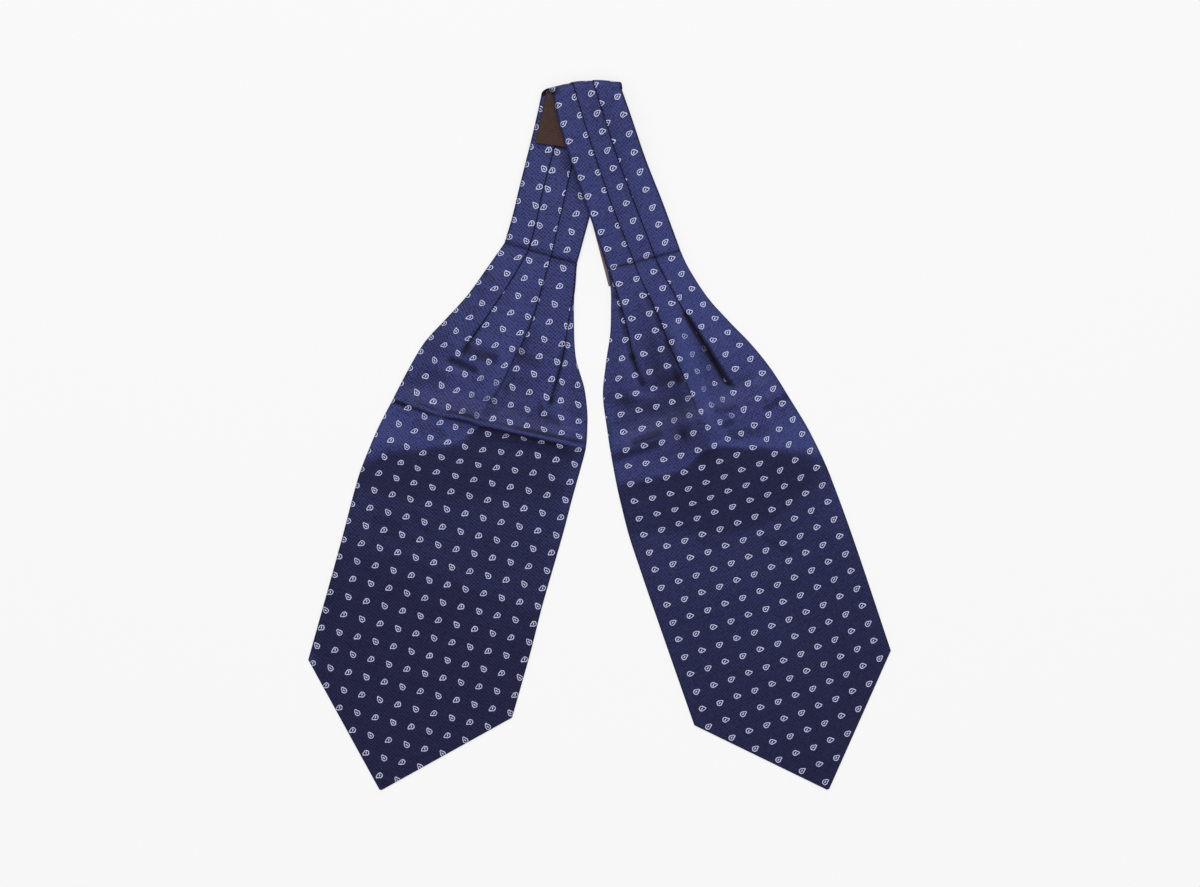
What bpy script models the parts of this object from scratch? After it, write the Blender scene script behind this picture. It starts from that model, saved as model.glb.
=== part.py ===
"""Silk cravat laid flat: two pointed blades on a pleated neckband, folded once at the neck.

Every length is in millimetres until leg_point's result is scaled to metres. +Z is up, +Y runs
from the points of the blades to the neck, and the origin is the middle of the footprint, on the
surface that the cravat lies on. Each leg is measured in its own frame: "along" runs from the
seam between band and blade to the blade's point, and "across" runs outward from the leg's axis.
"""

import math
from collections import namedtuple

import bmesh
import bpy
from mathutils import Vector

MM = 0.001

# Cloth: face, interlining and back are one wall, and folded plies share one rounded solid.
PLY = 1.0                 # wall of one ply
SEAM_GAP = 0.3            # between sewn pieces, and between a pleat and the cloth under it
BLADE_WALL = 1.2          # a blade where nothing is folded
BAND_WALL = 3.3           # the neckband's folded stack
PLEAT_STEP = PLY + SEAM_GAP
PLEAT_UNDERCUT = 4.5      # how far the gap reaches in under a pleat's edge
# A pleat's edge as (reach past the edge, drop below the top): round its nose, in under it to the
# end of the gap, and out again on the panel that it lies on.
PLEAT_EDGE = (
    (-0.9, 0.0),
    (-0.35, -0.12 * PLY),
    (0.0, -0.5 * PLY),
    (-0.35, -0.88 * PLY),
    (-0.9, -PLY),
    (-PLEAT_UNDERCUT, -PLY),
    (-PLEAT_UNDERCUT, -PLEAT_STEP),
    (0.2, -PLEAT_STEP),
)
EDGE_INSET = 0.5          # rounding of a blade's sewn edge
FLAT_SPREAD = 0.35        # spacing of a pleat's points where the pleat has opened out

# Half widths of a blade or of the band, from the leg's axis to its outer and to its inner edge.
Outline = namedtuple("Outline", "along outer inner")
# A blade's point: where the tip lies along the leg, and where the slanting edges start.
Point = namedtuple("Point", "tip outer_corner inner_corner")
# Edges of the three knife pleats of a leg, across from its axis. They all face the middle.
Pleats = namedtuple("Pleats", "along outer middle inner")
# Where along the blade each pleat opens out.
PleatEnds = namedtuple("PleatEnds", "outer middle inner")
# The crease across a blade, where it lay folded in its packet: where its crest lies on the axis,
# how far that moves for each millimetre across, and how far its two sides reach.
Crease = namedtuple("Crease", "along slant above below height")
# How high a leg's underside lies above the surface.
Lift = namedtuple("Lift", "along inner outer")
# A leg: its seam's middle, its lean and the side it lies on (-1 for -X, +1 for +X). band runs
# from the fold's axis to the seam (0); that axis is not square to the band, so the band's inner
# edge is longer by inner_extra.
Leg = namedtuple(
    "Leg", "seam_x seam_y lean side blade point band inner_extra pleats pleat_ends crease lift"
)

LEFT = Leg(
    seam_x=-46.0,
    seam_y=136.78,
    lean=math.radians(16.38),
    side=-1,
    blade=(
        Outline(0.0, 26.4, 30.2),
        Outline(22.0, 33.8, 34.7),
        Outline(45.0, 41.9, 41.2),
        Outline(67.0, 52.5, 49.0),
        Outline(90.0, 63.5, 63.0),
        Outline(112.0, 69.0, 71.4),
        Outline(135.0, 73.5, 75.9),
        Outline(168.0, 79.4, 76.4),
        Outline(202.0, 82.1, 77.3),
        Outline(248.0, 80.9, 77.5),
        Outline(292.0, 80.2, 79.0),
        Outline(341.0, 79.5, 79.5),
    ),
    point=Point(tip=419.7, outer_corner=341.5, inner_corner=340.0),
    band=(
        Outline(-114.0, 31.2, 25.7),
        Outline(-92.0, 29.6, 27.0),
        Outline(-45.0, 27.6, 29.2),
        Outline(-15.0, 26.3, 29.9),
        Outline(0.0, 26.4, 30.2),
    ),
    inner_extra=22.2,
    pleats=(
        Pleats(-114.0, 11.6, -4.0, -25.0),
        Pleats(-80.0, 10.8, -4.8, -27.0),
        Pleats(-50.0, 10.2, -6.7, -28.0),
        Pleats(-10.0, 7.9, -9.1, -28.8),
        Pleats(0.0, 7.9, -9.7, -29.2),
        Pleats(10.0, 10.2, -9.8, -31.2),
        Pleats(20.0, 12.5, -9.8, -33.2),
        Pleats(30.0, 15.4, -9.9, -34.5),
        Pleats(45.0, 20.0, -9.8, -36.2),
        Pleats(65.0, 26.3, -7.8, -39.0),
        Pleats(85.0, 32.8, -4.0, -40.0),
        Pleats(104.0, 37.0, -0.9, -40.2),
        Pleats(120.0, 39.0, 4.0, -40.4),
        Pleats(130.0, 40.0, 5.8, -40.6),
        Pleats(170.0, 41.0, 6.5, -41.0),
    ),
    pleat_ends=PleatEnds(outer=88.0, middle=126.0, inner=104.0),
    crease=Crease(along=133.6, slant=0.04, above=17.0, below=12.0, height=3.6),
    lift=(
        Lift(-114.0, 0.0, 0.0),
        Lift(0.0, 0.0, 0.0),
    ),
)
RIGHT = Leg(
    seam_x=33.22,
    seam_y=131.42,
    lean=math.radians(19.17),
    side=1,
    blade=(
        Outline(0.0, 28.1, 28.2),
        Outline(11.5, 29.0, 30.3),
        Outline(27.5, 31.9, 35.8),
        Outline(42.5, 36.0, 41.5),
        Outline(64.5, 45.2, 52.8),
        Outline(87.5, 55.8, 63.0),
        Outline(109.5, 63.5, 67.6),
        Outline(132.5, 68.9, 71.8),
        Outline(165.5, 75.6, 76.3),
        Outline(199.5, 78.9, 78.8),
        Outline(245.5, 79.7, 79.1),
        Outline(340.5, 78.7, 79.0),
    ),
    point=Point(tip=420.3, outer_corner=337.5, inner_corner=342.0),
    band=(
        Outline(-127.5, 26.1, 23.6),
        Outline(-108.5, 26.2, 26.6),
        Outline(-77.5, 25.9, 27.6),
        Outline(-32.5, 27.5, 27.8),
        Outline(0.0, 28.1, 28.2),
    ),
    inner_extra=12.2,
    pleats=(
        Pleats(-127.5, 7.0, -7.5, -22.8),
        Pleats(-102.5, 6.8, -8.6, -25.4),
        Pleats(-82.5, 6.3, -9.0, -26.4),
        Pleats(-52.5, 7.0, -9.1, -26.8),
        Pleats(-22.5, 8.1, -8.1, -26.9),
        Pleats(0.0, 8.8, -7.4, -27.0),
        Pleats(7.5, 9.3, -7.1, -27.0),
        Pleats(17.5, 10.8, -6.2, -27.0),
        Pleats(27.5, 12.7, -5.2, -27.5),
        Pleats(47.5, 16.2, -3.4, -29.0),
        Pleats(67.5, 20.6, -2.8, -31.6),
        Pleats(87.5, 25.0, -0.9, -32.4),
        Pleats(97.5, 26.1, 0.0, -32.8),
        Pleats(112.5, 30.0, 0.1, -33.4),
        Pleats(127.5, 32.0, 0.5, -34.0),
        Pleats(167.5, 34.0, 0.8, -35.0),
    ),
    pleat_ends=PleatEnds(outer=112.5, middle=127.5, inner=87.5),
    crease=Crease(along=129.5, slant=0.0, above=20.0, below=28.0, height=2.4),
    # Over the left leg and the doubled label at the fold, then down onto the surface.
    lift=(
        Lift(-127.5, 6.2, 6.2),
        Lift(-86.5, 6.2, 6.2),
        Lift(-62.5, 4.7, 3.6),
        Lift(-42.5, 3.9, 2.4),
        Lift(-22.5, 2.4, 1.7),
        Lift(0.0, 1.5, 1.5),
        Lift(14.5, 1.45, 1.45),
        Lift(49.5, 0.0, 0.0),
    ),
)

# Blades
TIP_HALF_WIDTH = 1.0      # the turned point is this blunt
PLEAT_FADE = 24.0         # length over which a pleat's edge sinks away
EVEN_START = 140.0        # below the pleats a section's points spread out evenly
EVEN_END = 190.0
SIDE_SLOPE_END = 60.0     # a blade's side edges are as thin as its wall from here on
# Where a blade's sections stand: even stretches as (first, spacing, count) along the pleats,
# then before and past the crease, then along the plain part.
PLEAT_STRETCHES = ((6.0, 8.0, 9), (78.0, 6.0, 7))
CREASE_OFFSETS = (-12.0, -6.0, -3.0, 0.0, 3.0, 6.0, 12.0, 20.0, 30.0)
PLAIN_STATIONS = (190.0, 215.0, 250.0, 295.0)
CREASE_EDGE = 14.0        # the crease sinks away over this distance from a blade's edge
CREASE_HOLLOW = 0.55      # the underside rises under the crease by this share of it
UNDER_SHARES = (0.12, 0.3, 0.5, 0.7, 0.88)    # the underside's points, from the inner edge

# The neckband
SHOULDER_DROP = 0.45      # its long edges are rounded by this much
SHOULDER_INSET = 0.9
EDGE_SLOT = 2.2           # how deep the layers part along those edges
EDGE_NOSE = 0.3           # rounding of each layer there
BAND_STEPS = 11           # sections of each leg of the band

# The fold at the neck: a soft roll, bowed outward in the middle
FOLD_GAP = 2.9            # between the inner faces, room for the label lying double
FOLD_AXIS_HEIGHT = BAND_WALL + FOLD_GAP * 0.5
FOLD_BOW = 3.2
FOLD_STEPS = 10

# Labels
LABEL_WALL = 1.0
LABEL_MARGIN = 4.2        # from the band's edge to the neck label's edge
LABEL_START = 0.70        # share of the way from the seam to the fold
LABEL_STEPS = 6           # sections of the label on each leg
CARE_LABEL_LENGTH = 48.5
CARE_LABEL_WIDTH = 21.0
CARE_LABEL_ALONG = -10.0  # its middle, along the right leg
CARE_LABEL_EDGE = 29.4    # its long edge, inward of the axis at that middle
CARE_LABEL_TURN = math.radians(4.9)
CARE_LABEL_CORNER = 0.2

SILK = (0.040, 0.045, 0.150, 1.0)
LABEL_BROWN = (0.068, 0.034, 0.026, 1.0)
CARE_BROWN = (0.190, 0.130, 0.105, 1.0)


# ---------------------------------------------------------------- measures along a leg

def smooth(value, start, end):
    """Soft step from 0 at start to 1 at end."""
    part = min(max((value - start) / (end - start), 0.0), 1.0)
    return part * part * (3.0 - 2.0 * part)


def knot_slope(before, after):
    """Slope at a table's row that never overshoots its neighbours."""
    if before * after <= 0.0:
        return 0.0
    return 2.0 * before * after / (before + after)


def measure(rows, column, along):
    """A table column's value at a distance along the leg, on a smooth curve."""
    marks = [row.along for row in rows]
    values = [getattr(row, column) for row in rows]
    if along <= marks[0]:
        return values[0]
    if along >= marks[-1]:
        return values[-1]
    rises = [(values[i + 1] - values[i]) / (marks[i + 1] - marks[i]) for i in range(len(rows) - 1)]
    slopes = [rises[0]]
    slopes += [knot_slope(before, after) for before, after in zip(rises, rises[1:])]
    slopes.append(rises[-1])
    i = next(index for index in range(len(rows) - 1) if along <= marks[index + 1])
    step = marks[i + 1] - marks[i]
    part = (along - marks[i]) / step
    rest = 1.0 - part
    return (
        values[i] * rest * rest * (1.0 + 2.0 * part)
        + values[i + 1] * part * part * (3.0 - 2.0 * part)
        + slopes[i] * step * part * rest * rest
        - slopes[i + 1] * step * part * part * rest
    )


def leg_point(leg, along, across, height=0.0):
    """A point of a leg in millimetres, from its distances along and across the leg."""
    x = leg.seam_x + leg.side * (along * math.sin(leg.lean) + across * math.cos(leg.lean))
    y = leg.seam_y - along * math.cos(leg.lean) + across * math.sin(leg.lean)
    return Vector((x, y, height))


def leg_lift(leg, along, inward):
    """How high a leg's underside lies: inward runs from 0 at its outer to 1 at its inner edge."""
    outer = measure(leg.lift, "outer", along)
    inner = measure(leg.lift, "inner", along)
    return outer + (inner - outer) * min(max(inward, 0.0), 1.0)


# ---------------------------------------------------------------- pleats

def pleat_points(edge, top, amount, facing):
    """The surface over one pleat, from the folded panel down to the panel under it.

    edge is where the fold reaches, and facing (+1 or -1) the way it faces. With amount 1 the gap
    under the edge is fully undercut; with amount 0 the same points lie flat, evenly spread.
    """
    middle = (len(PLEAT_EDGE) - 1) / 2.0
    points = []
    for index, (reach, drop) in enumerate(PLEAT_EDGE):
        flat = (index - middle) * FLAT_SPREAD
        points.append((edge + facing * (flat + (reach - flat) * amount), top + drop * amount))
    return points


def panel_points(start, end, shares, ease):
    """Points between two pleats, where a panel climbs onto the next pleat's folded stack."""
    points = []
    for share in shares:
        climb = smooth(share, 0.0, ease)
        across = start[0] + (end[0] - start[0]) * share
        points.append((across, start[1] + (end[1] - start[1]) * climb))
    return points


def pleated_line(first, last, pleats, shares, ease):
    """A surface's section from its first to its last point, over pleats given as points."""
    line = [first]
    for pleat in pleats:
        line += panel_points(line[-1], pleat[0], shares, ease)
        line += pleat
    line += panel_points(line[-1], last, shares, ease)
    line.append(last)
    return line


# ---------------------------------------------------------------- blades

def blade_half_width(leg, column, along):
    """Half width of a blade towards one edge, narrowing along the slanting edge to the tip."""
    corner = getattr(leg.point, column + "_corner")
    full = measure(leg.blade, column, corner)
    slant = (full - TIP_HALF_WIDTH) / (leg.point.tip - corner)
    return min(measure(leg.blade, column, along), TIP_HALF_WIDTH + (leg.point.tip - along) * slant)


def crease_rise(leg, along, across, outer, inner):
    """How far the crease lifts a blade there. It sinks away at the blade's two edges."""
    crease = leg.crease
    offset = along - crease.along - crease.slant * across
    reach = crease.below if offset > 0.0 else crease.above
    from_edge = min(outer - across, across + inner)
    held = smooth(from_edge, 0.0, CREASE_EDGE)
    return crease.height * held * (1.0 - smooth(abs(offset), 0.0, reach))


def blade_section(leg, along):
    """One closed ring of a blade, square to its axis."""
    outer = blade_half_width(leg, "outer", along)
    inner = blade_half_width(leg, "inner", along)
    pleats = []
    for name in PleatEnds._fields:
        end = getattr(leg.pleat_ends, name)
        amount = 1.0 - smooth(along, end - PLEAT_FADE, end)
        stacked = 1.0 - smooth(along, 0.4 * end, end + PLEAT_FADE)
        top = BLADE_WALL + (BAND_WALL - BLADE_WALL) * stacked
        pleats.append(pleat_points(measure(leg.pleats, name, along), top, amount, facing=-1.0))
    thickening = 1.0 - smooth(along, 0.0, SIDE_SLOPE_END)
    edge_height = BLADE_WALL + (BAND_WALL - PLEAT_STEP - BLADE_WALL) * thickening
    first = (outer - EDGE_INSET, edge_height)
    last = (EDGE_INSET - inner, edge_height)
    line = pleated_line(first, last, pleats, shares=(0.2, 0.6), ease=0.7)

    evenness = smooth(along, EVEN_START, EVEN_END)
    section = []
    for index, (across, height) in enumerate(line):
        part = index / (len(line) - 1)
        even = first[0] + (last[0] - first[0]) * part
        across += (even - across) * evenness
        section.append((across, height + crease_rise(leg, along, across, outer, inner)))
    section += [(-inner, 0.5 * edge_height), (EDGE_INSET - inner, 0.0)]
    for part in UNDER_SHARES:
        across = (outer - EDGE_INSET) * part - (inner - EDGE_INSET) * (1.0 - part)
        section.append((across, CREASE_HOLLOW * crease_rise(leg, along, across, outer, inner)))
    section += [(outer - EDGE_INSET, 0.0), (outer, 0.5 * edge_height)]
    ring = []
    for across, height in section:
        lift = leg_lift(leg, along, (outer - across) / (outer + inner))
        ring.append(leg_point(leg, along, across, height + lift))
    return ring


def blade_stations(leg):
    """Distances along a blade where its sections stand."""
    stations = {SEAM_GAP * 0.5}
    for first, spacing, count in PLEAT_STRETCHES:
        stations.update(first + spacing * step for step in range(count))
    stations.update(leg.crease.along + offset for offset in CREASE_OFFSETS)
    stations.update(PLAIN_STATIONS)
    stations.update((leg.point.outer_corner, leg.point.inner_corner, leg.point.tip))
    return sorted(stations)


# ---------------------------------------------------------------- neckband

def band_ends(leg, part):
    """The band's -X and +X edges in plan, part of the way from the leg's seam to the fold."""
    outer_along = leg.band[0].along * part
    inner_along = outer_along - leg.inner_extra * part ** 3
    outer_end = leg_point(leg, outer_along, measure(leg.band, "outer", outer_along))
    inner_end = leg_point(leg, inner_along, -measure(leg.band, "inner", outer_along))
    return (outer_end, inner_end) if leg is LEFT else (inner_end, outer_end)


def fold_ends(part):
    """Ends of the fold's axis in plan, part of the way round from the left to the right leg."""
    turned = smooth(part, 0.0, 1.0)
    pairs = zip(band_ends(LEFT, 1.0), band_ends(RIGHT, 1.0))
    return [left.lerp(right, turned) for left, right in pairs]


def fold_direction():
    """Direction in plan from the legs out over the fold."""
    start, end = fold_ends(0.5)
    run = (end - start).normalized()
    return Vector((-run.y, run.x, 0.0))


def leg_place(leg, part, share, depth):
    """A point of the band on a leg.

    share runs across from the -X to the +X edge, and depth in from the band's outer face, which
    is underneath on the left leg and on top of the right leg.
    """
    start, end = band_ends(leg, part)
    bow = FOLD_BOW * part ** 4 * math.sin(math.pi * share)
    place = start.lerp(end, share) + fold_direction() * bow
    if leg is LEFT:
        place.z = depth
    else:
        place.z = leg_lift(leg, leg.band[0].along * part, 1.0 - share) + BAND_WALL - depth
    return place


def fold_place(part, share, depth):
    """A point of the band in the roll at the neck, part of the way round it."""
    start, end = fold_ends(part)
    turn = math.pi * part
    reach = FOLD_AXIS_HEIGHT - depth
    out = FOLD_BOW * math.sin(math.pi * share) + reach * math.sin(turn)
    place = start.lerp(end, share) + fold_direction() * out
    place.z = FOLD_AXIS_HEIGHT - reach * math.cos(turn)
    return place


def pleat_places(leg, along, width):
    """Distances from the band's -X edge to the two pleats that show on a leg of the band."""
    outer = measure(leg.band, "outer", along)
    inner = measure(leg.band, "inner", along)
    places = []
    for name in ("outer", "middle"):
        across = measure(leg.pleats, name, along)
        from_edge = outer - across if leg is LEFT else across + inner
        places.append(from_edge / (outer + inner) * width)
    return places


def band_section(width, left_along, left_amount, right_along, right_amount):
    """The band's section as (distance from the -X edge, depth from the outer face).

    The left leg shows its pleats on the inner face, the right leg on the outer face, so each
    face has its own pleats and they open out, amount 0, where they would lie underneath.
    """
    outer_pleats = []
    for edge in pleat_places(RIGHT, right_along, width):
        points = pleat_points(edge, 0.0, right_amount, facing=-1.0)
        outer_pleats.append([(place, -height) for place, height in points])
    inner_pleats = []
    for edge in pleat_places(LEFT, left_along, width):
        inner_pleats.append(pleat_points(edge, BAND_WALL, left_amount, facing=1.0))

    near = SHOULDER_INSET
    far = width - SHOULDER_INSET
    low = SHOULDER_DROP
    high = BAND_WALL - SHOULDER_DROP
    shares = (0.3, 0.7)
    outer_face = pleated_line((far, low), (near, low), outer_pleats, shares, ease=0.8)
    inner_face = pleated_line((near, high), (far, high), inner_pleats, shares, ease=0.8)

    middle = BAND_WALL * 0.5
    slot = SEAM_GAP * 0.5
    bulge = middle * 0.45
    near_edge = [
        (0.0, middle - bulge), (EDGE_NOSE, middle - slot), (EDGE_SLOT, middle - slot),
        (EDGE_SLOT, middle + slot), (EDGE_NOSE, middle + slot), (0.0, middle + bulge),
    ]
    far_edge = [(width - place, BAND_WALL - depth) for place, depth in near_edge]
    return outer_face + near_edge + inner_face + far_edge


def leg_ring(leg, part):
    """One ring of the band on a leg, part of the way from its seam to the fold."""
    start, end = band_ends(leg, part)
    width = (end - start).length
    along = leg.band[0].along * part
    if leg is LEFT:
        shown = 1.0 - smooth(part, 0.72, 0.95)
        section = band_section(width, along, shown, RIGHT.band[0].along, 0.0)
    else:
        section = band_section(width, LEFT.band[0].along, 0.0, along, 1.0)
    return [leg_place(leg, part, place / width, depth) for place, depth in section]


def fold_ring(part):
    """One ring of the roll at the neck."""
    start, end = fold_ends(part)
    width = (end - start).length
    shown = smooth(part, 0.0, 0.35)
    section = band_section(width, LEFT.band[0].along, 0.0, RIGHT.band[0].along, shown)
    return [fold_place(part, place / width, depth) for place, depth in section]


def build_neckband():
    """The band, from the left seam over the fold at the neck to the right seam."""
    first = SEAM_GAP * 0.5 / -LEFT.band[0].along
    parts = [first + (1.0 - first) * step / BAND_STEPS for step in range(BAND_STEPS)]
    rings = [leg_ring(LEFT, part) for part in parts]
    rings += [fold_ring(step / FOLD_STEPS) for step in range(FOLD_STEPS + 1)]
    rings += [leg_ring(RIGHT, part) for part in reversed(parts)]
    return loft("neckband", rings)


# ---------------------------------------------------------------- labels

def label_section(width):
    """The neck label's section as (share of the band's width, depth from its outer face)."""
    margin = LABEL_MARGIN / width
    shares = [margin + (1.0 - 2.0 * margin) * step / 4 for step in range(5)]
    low = BAND_WALL + SEAM_GAP
    high = low + LABEL_WALL
    return [(share, low) for share in shares] + [(share, high) for share in reversed(shares)]


def build_neck_label():
    """The plain label on the band's inner face, lying round the inside of the fold."""
    parts = [LABEL_START + (1.0 - LABEL_START) * step / LABEL_STEPS for step in range(LABEL_STEPS)]
    turns = [step / FOLD_STEPS for step in range(FOLD_STEPS + 1)]
    stations = [(leg_place, (LEFT, part), band_ends(LEFT, part)) for part in parts]
    stations += [(fold_place, (turn,), fold_ends(turn)) for turn in turns]
    stations += [(leg_place, (RIGHT, part), band_ends(RIGHT, part)) for part in reversed(parts)]
    rings = []
    for place, where, (start, end) in stations:
        section = label_section((end - start).length)
        rings.append([place(*where, share, depth) for share, depth in section])
    return loft("neck_label", rings)


def build_care_label():
    """The small label that lies under the right leg and shows along its inner edge."""
    bpy.ops.mesh.primitive_cube_add(size=1.0)
    label = bpy.context.object
    label.name = "care_label"
    size = Vector((CARE_LABEL_WIDTH, CARE_LABEL_LENGTH, LABEL_WALL)) * MM
    for vertex in label.data.vertices:
        vertex.co = Vector(part * length for part, length in zip(vertex.co, size))
    across = CARE_LABEL_WIDTH * 0.5 - CARE_LABEL_EDGE
    label.location = leg_point(RIGHT, CARE_LABEL_ALONG, across, LABEL_WALL * 0.5) * MM
    label.rotation_euler = (0.0, 0.0, RIGHT.lean - CARE_LABEL_TURN)
    bevel = label.modifiers.new("Soft edges", "BEVEL")
    bevel.width = CARE_LABEL_CORNER * MM
    bevel.segments = 2
    return label


# ---------------------------------------------------------------- making the objects

def loft(name, rings):
    """A closed solid through rings of equal point counts, given in millimetres."""
    mesh = bpy.data.meshes.new(name)
    piece = bpy.data.objects.new(name, mesh)
    bm = bmesh.new()
    loops = [[bm.verts.new(point * MM) for point in ring] for ring in rings]
    for ring, following in zip(loops, loops[1:]):
        for index, vertex in enumerate(ring):
            after = (index + 1) % len(ring)
            bm.faces.new((vertex, ring[after], following[after], following[index]))
    ends = [bm.faces.new(loops[0]), bm.faces.new(loops[-1])]
    bmesh.ops.triangulate(bm, faces=ends, ngon_method="EAR_CLIP")
    bmesh.ops.recalc_face_normals(bm, faces=bm.faces)
    bm.to_mesh(mesh)
    bm.free()
    mesh.shade_smooth()
    mesh.set_sharp_from_angle(angle=math.radians(40.0))
    return piece


def build_blade(name, leg):
    """A pointed blade, from its seam to its tip."""
    return loft(name, [blade_section(leg, along) for along in blade_stations(leg)])


def finish(name, color, roughness):
    """A cloth material."""
    material = bpy.data.materials.new(name)
    material.use_nodes = True
    shader = material.node_tree.nodes["Principled BSDF"]
    shader.inputs["Base Color"].default_value = color
    shader.inputs["Roughness"].default_value = roughness
    shader.inputs["Metallic"].default_value = 0.0
    return material


def main():
    """Build the cravat in a collection of its own."""
    for item in list(bpy.data.objects):
        bpy.data.objects.remove(item, do_unlink=True)
    collection = bpy.data.collections.new("silk_cravat")
    bpy.context.scene.collection.children.link(collection)
    pieces = (
        (build_neckband(), finish("Band silk", SILK, 0.45)),
        (build_blade("blade_left", LEFT), finish("Left blade silk", SILK, 0.45)),
        (build_blade("blade_right", RIGHT), finish("Right blade silk", SILK, 0.45)),
        (build_neck_label(), finish("Neck label satin", LABEL_BROWN, 0.5)),
        (build_care_label(), finish("Care label satin", CARE_BROWN, 0.5)),
    )
    for piece, material in pieces:
        for owner in list(piece.users_collection):
            owner.objects.unlink(piece)
        collection.objects.link(piece)
        piece.data.materials.append(material)


main()
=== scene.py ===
"""Silk cravat laid flat: the dressed cloth, its labels and the stage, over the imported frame.

Sizes in the tables are in millimetres and are scaled to metres where a mesh is made. Each leg of
the cravat is measured in its own frame: "along" runs from the seam between band and blade to the
blade's point, and "across" runs outward from the leg's axis.
"""

import math
from collections import namedtuple

import bmesh
import bpy
from bpy.props import FloatProperty, FloatVectorProperty, PointerProperty
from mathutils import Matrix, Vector


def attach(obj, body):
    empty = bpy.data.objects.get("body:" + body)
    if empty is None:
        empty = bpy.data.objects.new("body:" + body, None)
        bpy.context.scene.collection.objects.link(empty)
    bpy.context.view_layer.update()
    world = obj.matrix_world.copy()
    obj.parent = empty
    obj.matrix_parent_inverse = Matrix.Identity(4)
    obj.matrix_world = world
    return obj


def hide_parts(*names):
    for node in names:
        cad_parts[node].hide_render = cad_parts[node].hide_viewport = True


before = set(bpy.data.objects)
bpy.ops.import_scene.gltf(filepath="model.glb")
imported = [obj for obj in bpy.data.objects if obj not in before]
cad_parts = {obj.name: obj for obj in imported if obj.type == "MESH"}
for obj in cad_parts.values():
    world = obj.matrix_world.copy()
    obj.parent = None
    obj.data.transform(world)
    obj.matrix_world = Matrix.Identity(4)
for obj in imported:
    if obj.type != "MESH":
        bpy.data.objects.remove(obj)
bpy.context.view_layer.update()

bl_info = {
    "name": "Silk cravat",
    "version": (1, 0, 0),
    "blender": (4, 5, 0),
    "location": "View3D > Sidebar > Cravat",
    "description": "Makes a pleated silk cravat with a small woven paisley, laid flat",
    "category": "Add Mesh",
}

MM = 0.001

# ---------------------------------------------------------------- the cloth's measures

PLY = 1.0                 # wall of one ply
SEAM_GAP = 0.3            # between a pleat and the cloth under it
BLADE_WALL = 1.2          # a blade's plies, sewn flat
BAND_WALL = 3.3           # the whole pleated band
PLEAT_STEP = PLY + SEAM_GAP
PLEAT_UNDERCUT = 4.5      # how far the gap reaches in under a pleat's edge
PLEAT_ROUND = 0.75        # rounding of a pleat's fold, across
NOSE_POINTS = 9           # points round a pleat's fold
EDGE_INSET = 0.5          # rounding of a blade's sewn edge
NARROW_INSET = 0.4        # share of the width, where the blade is too narrow for that
RIM_TURNS = (54.0, 18.0, -18.0, -54.0)      # degrees round a sewn edge where its points lie
PLEAT_SPREAD = 2.45       # width of a pleat's points where the pleat has opened out
PLEAT_FADE = 24.0         # a pleat's edge sinks away over this length
NOSE_SHADE = (1.5, 4.0)   # the points round a pleat's fold between which painted shade darkens it
# The cloth below a pleat's edge: reach past the edge, and how deep the painted shade in the gap
# is.
PLEAT_FOOT = ((-0.6, 1.0), (0.3, 1.0), (0.7, 0.4), (1.3, 0.0))
STACK_START = 0.4         # share of a pleat's length past which its stack grows thinner
SOFTENED = 0.6            # how much fainter a pleat's painted shade line gets past its crisp part
SOFTENING = 24.0          # and over what length
CREVICE_SHADE_GAIN = 2.5        # a pleat's painted shade line is at its darkest before its gap is fully undercut
EVEN_START = 140.0        # a blade's points spread out evenly between these
EVEN_END = 190.0
SIDE_SLOPE_END = 60.0     # the band's thickness runs out into the blade's over this length
TIP_HALF_WIDTH = 1.0      # a blade's point is blunt by this
CREASE_EDGE = 14.0        # the crease sinks away over this distance from an edge
CREASE_HOLLOW = 0.55      # the underside rises under the crease by this share of it
RIDGE_EDGE = 3.0          # the small folds sink away over this distance from an edge
RIDGE_SPAN = 3.0          # times its width, past which a small fold has no height
RIDGE_EASE = 0.3          # share of a small fold's length over which it rises, and sinks again
RIM_SHADE = 0.6         # painted shade: how dark a sewn edge looks from above
RIM_FACE = 0.6            # share of that on the cloth beside the edge
SHARP_EDGE = math.radians(70.0)     # the mesh stays sharp where it turns by more than this
SEAM_SHADE = 0.55       # painted shade along a seam: how dark it is, and the reach of that
SEAM_LINE = 0.9
SEAM_SINK = {-1: 0.6, 1: 0.4}       # how far the band sinks to a leg's seam, by its side
SEAM_REACH = 1.8
SEAM_TILT_REACH = 14.0    # a slanting seam draws the cloth along with it over this length
CREST_RANGE = 14.0        # how far from the crease its crest may lie
CREST_REACH = 0.7         # of the crest's painted highlight, and of the painted dark over and under it
ABOVE_CREST = (2.3, 1.7)  # how far off each painted dark line lies, and its reach
BELOW_CREST = (2.3, 1.4)
CREST_RISE = 0.5          # height of the crest where its light is CREST_LIGHT, and its width
CREST_LIGHT = 0.4
CREST_WIDTH = 1.2
STREAK_CORE = 0.3         # times its width, inside which a streak is full
STREAK_RIM = 1.7          # and past which there is nothing of it
PATCH_SPAN = 2.5          # times its reach, past which a patch is nothing
PANEL_POINTS = (26, 22, 18, 16)     # points across each panel, from the outer one
PANEL_EASE = 0.7          # share of a panel over which it climbs onto the next pleat's stack
PANEL_RANGE = (-0.6, 1.6)           # how far past a panel's ends its weave is carried on
LEAST_RUN = 0.5           # a narrower panel has no run of weave of its own
UNDER_POINTS = 14         # points across a blade's underside
LEAST_WALL = 0.8          # small folds and troughs never thin the cloth to less than this
FIRST_RING = 0.02         # a seam's two pieces start this far from it
# Where a blade's rings stand: the first distance along, the step and the count.
RING_RUNS = (
    (0.5, 1.0, 2), (1.5, 1.5, 139), (121.5, 0.75, 30), (210.0, 3.0, 43), (339.5, 2.5, 32),
)

# Distances from a leg's axis: outward and inward to its edges, and to the edge of each pleat.
Outline = namedtuple("Outline", "along outer inner")
Pleats = namedtuple("Pleats", "along outer middle inner")
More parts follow.
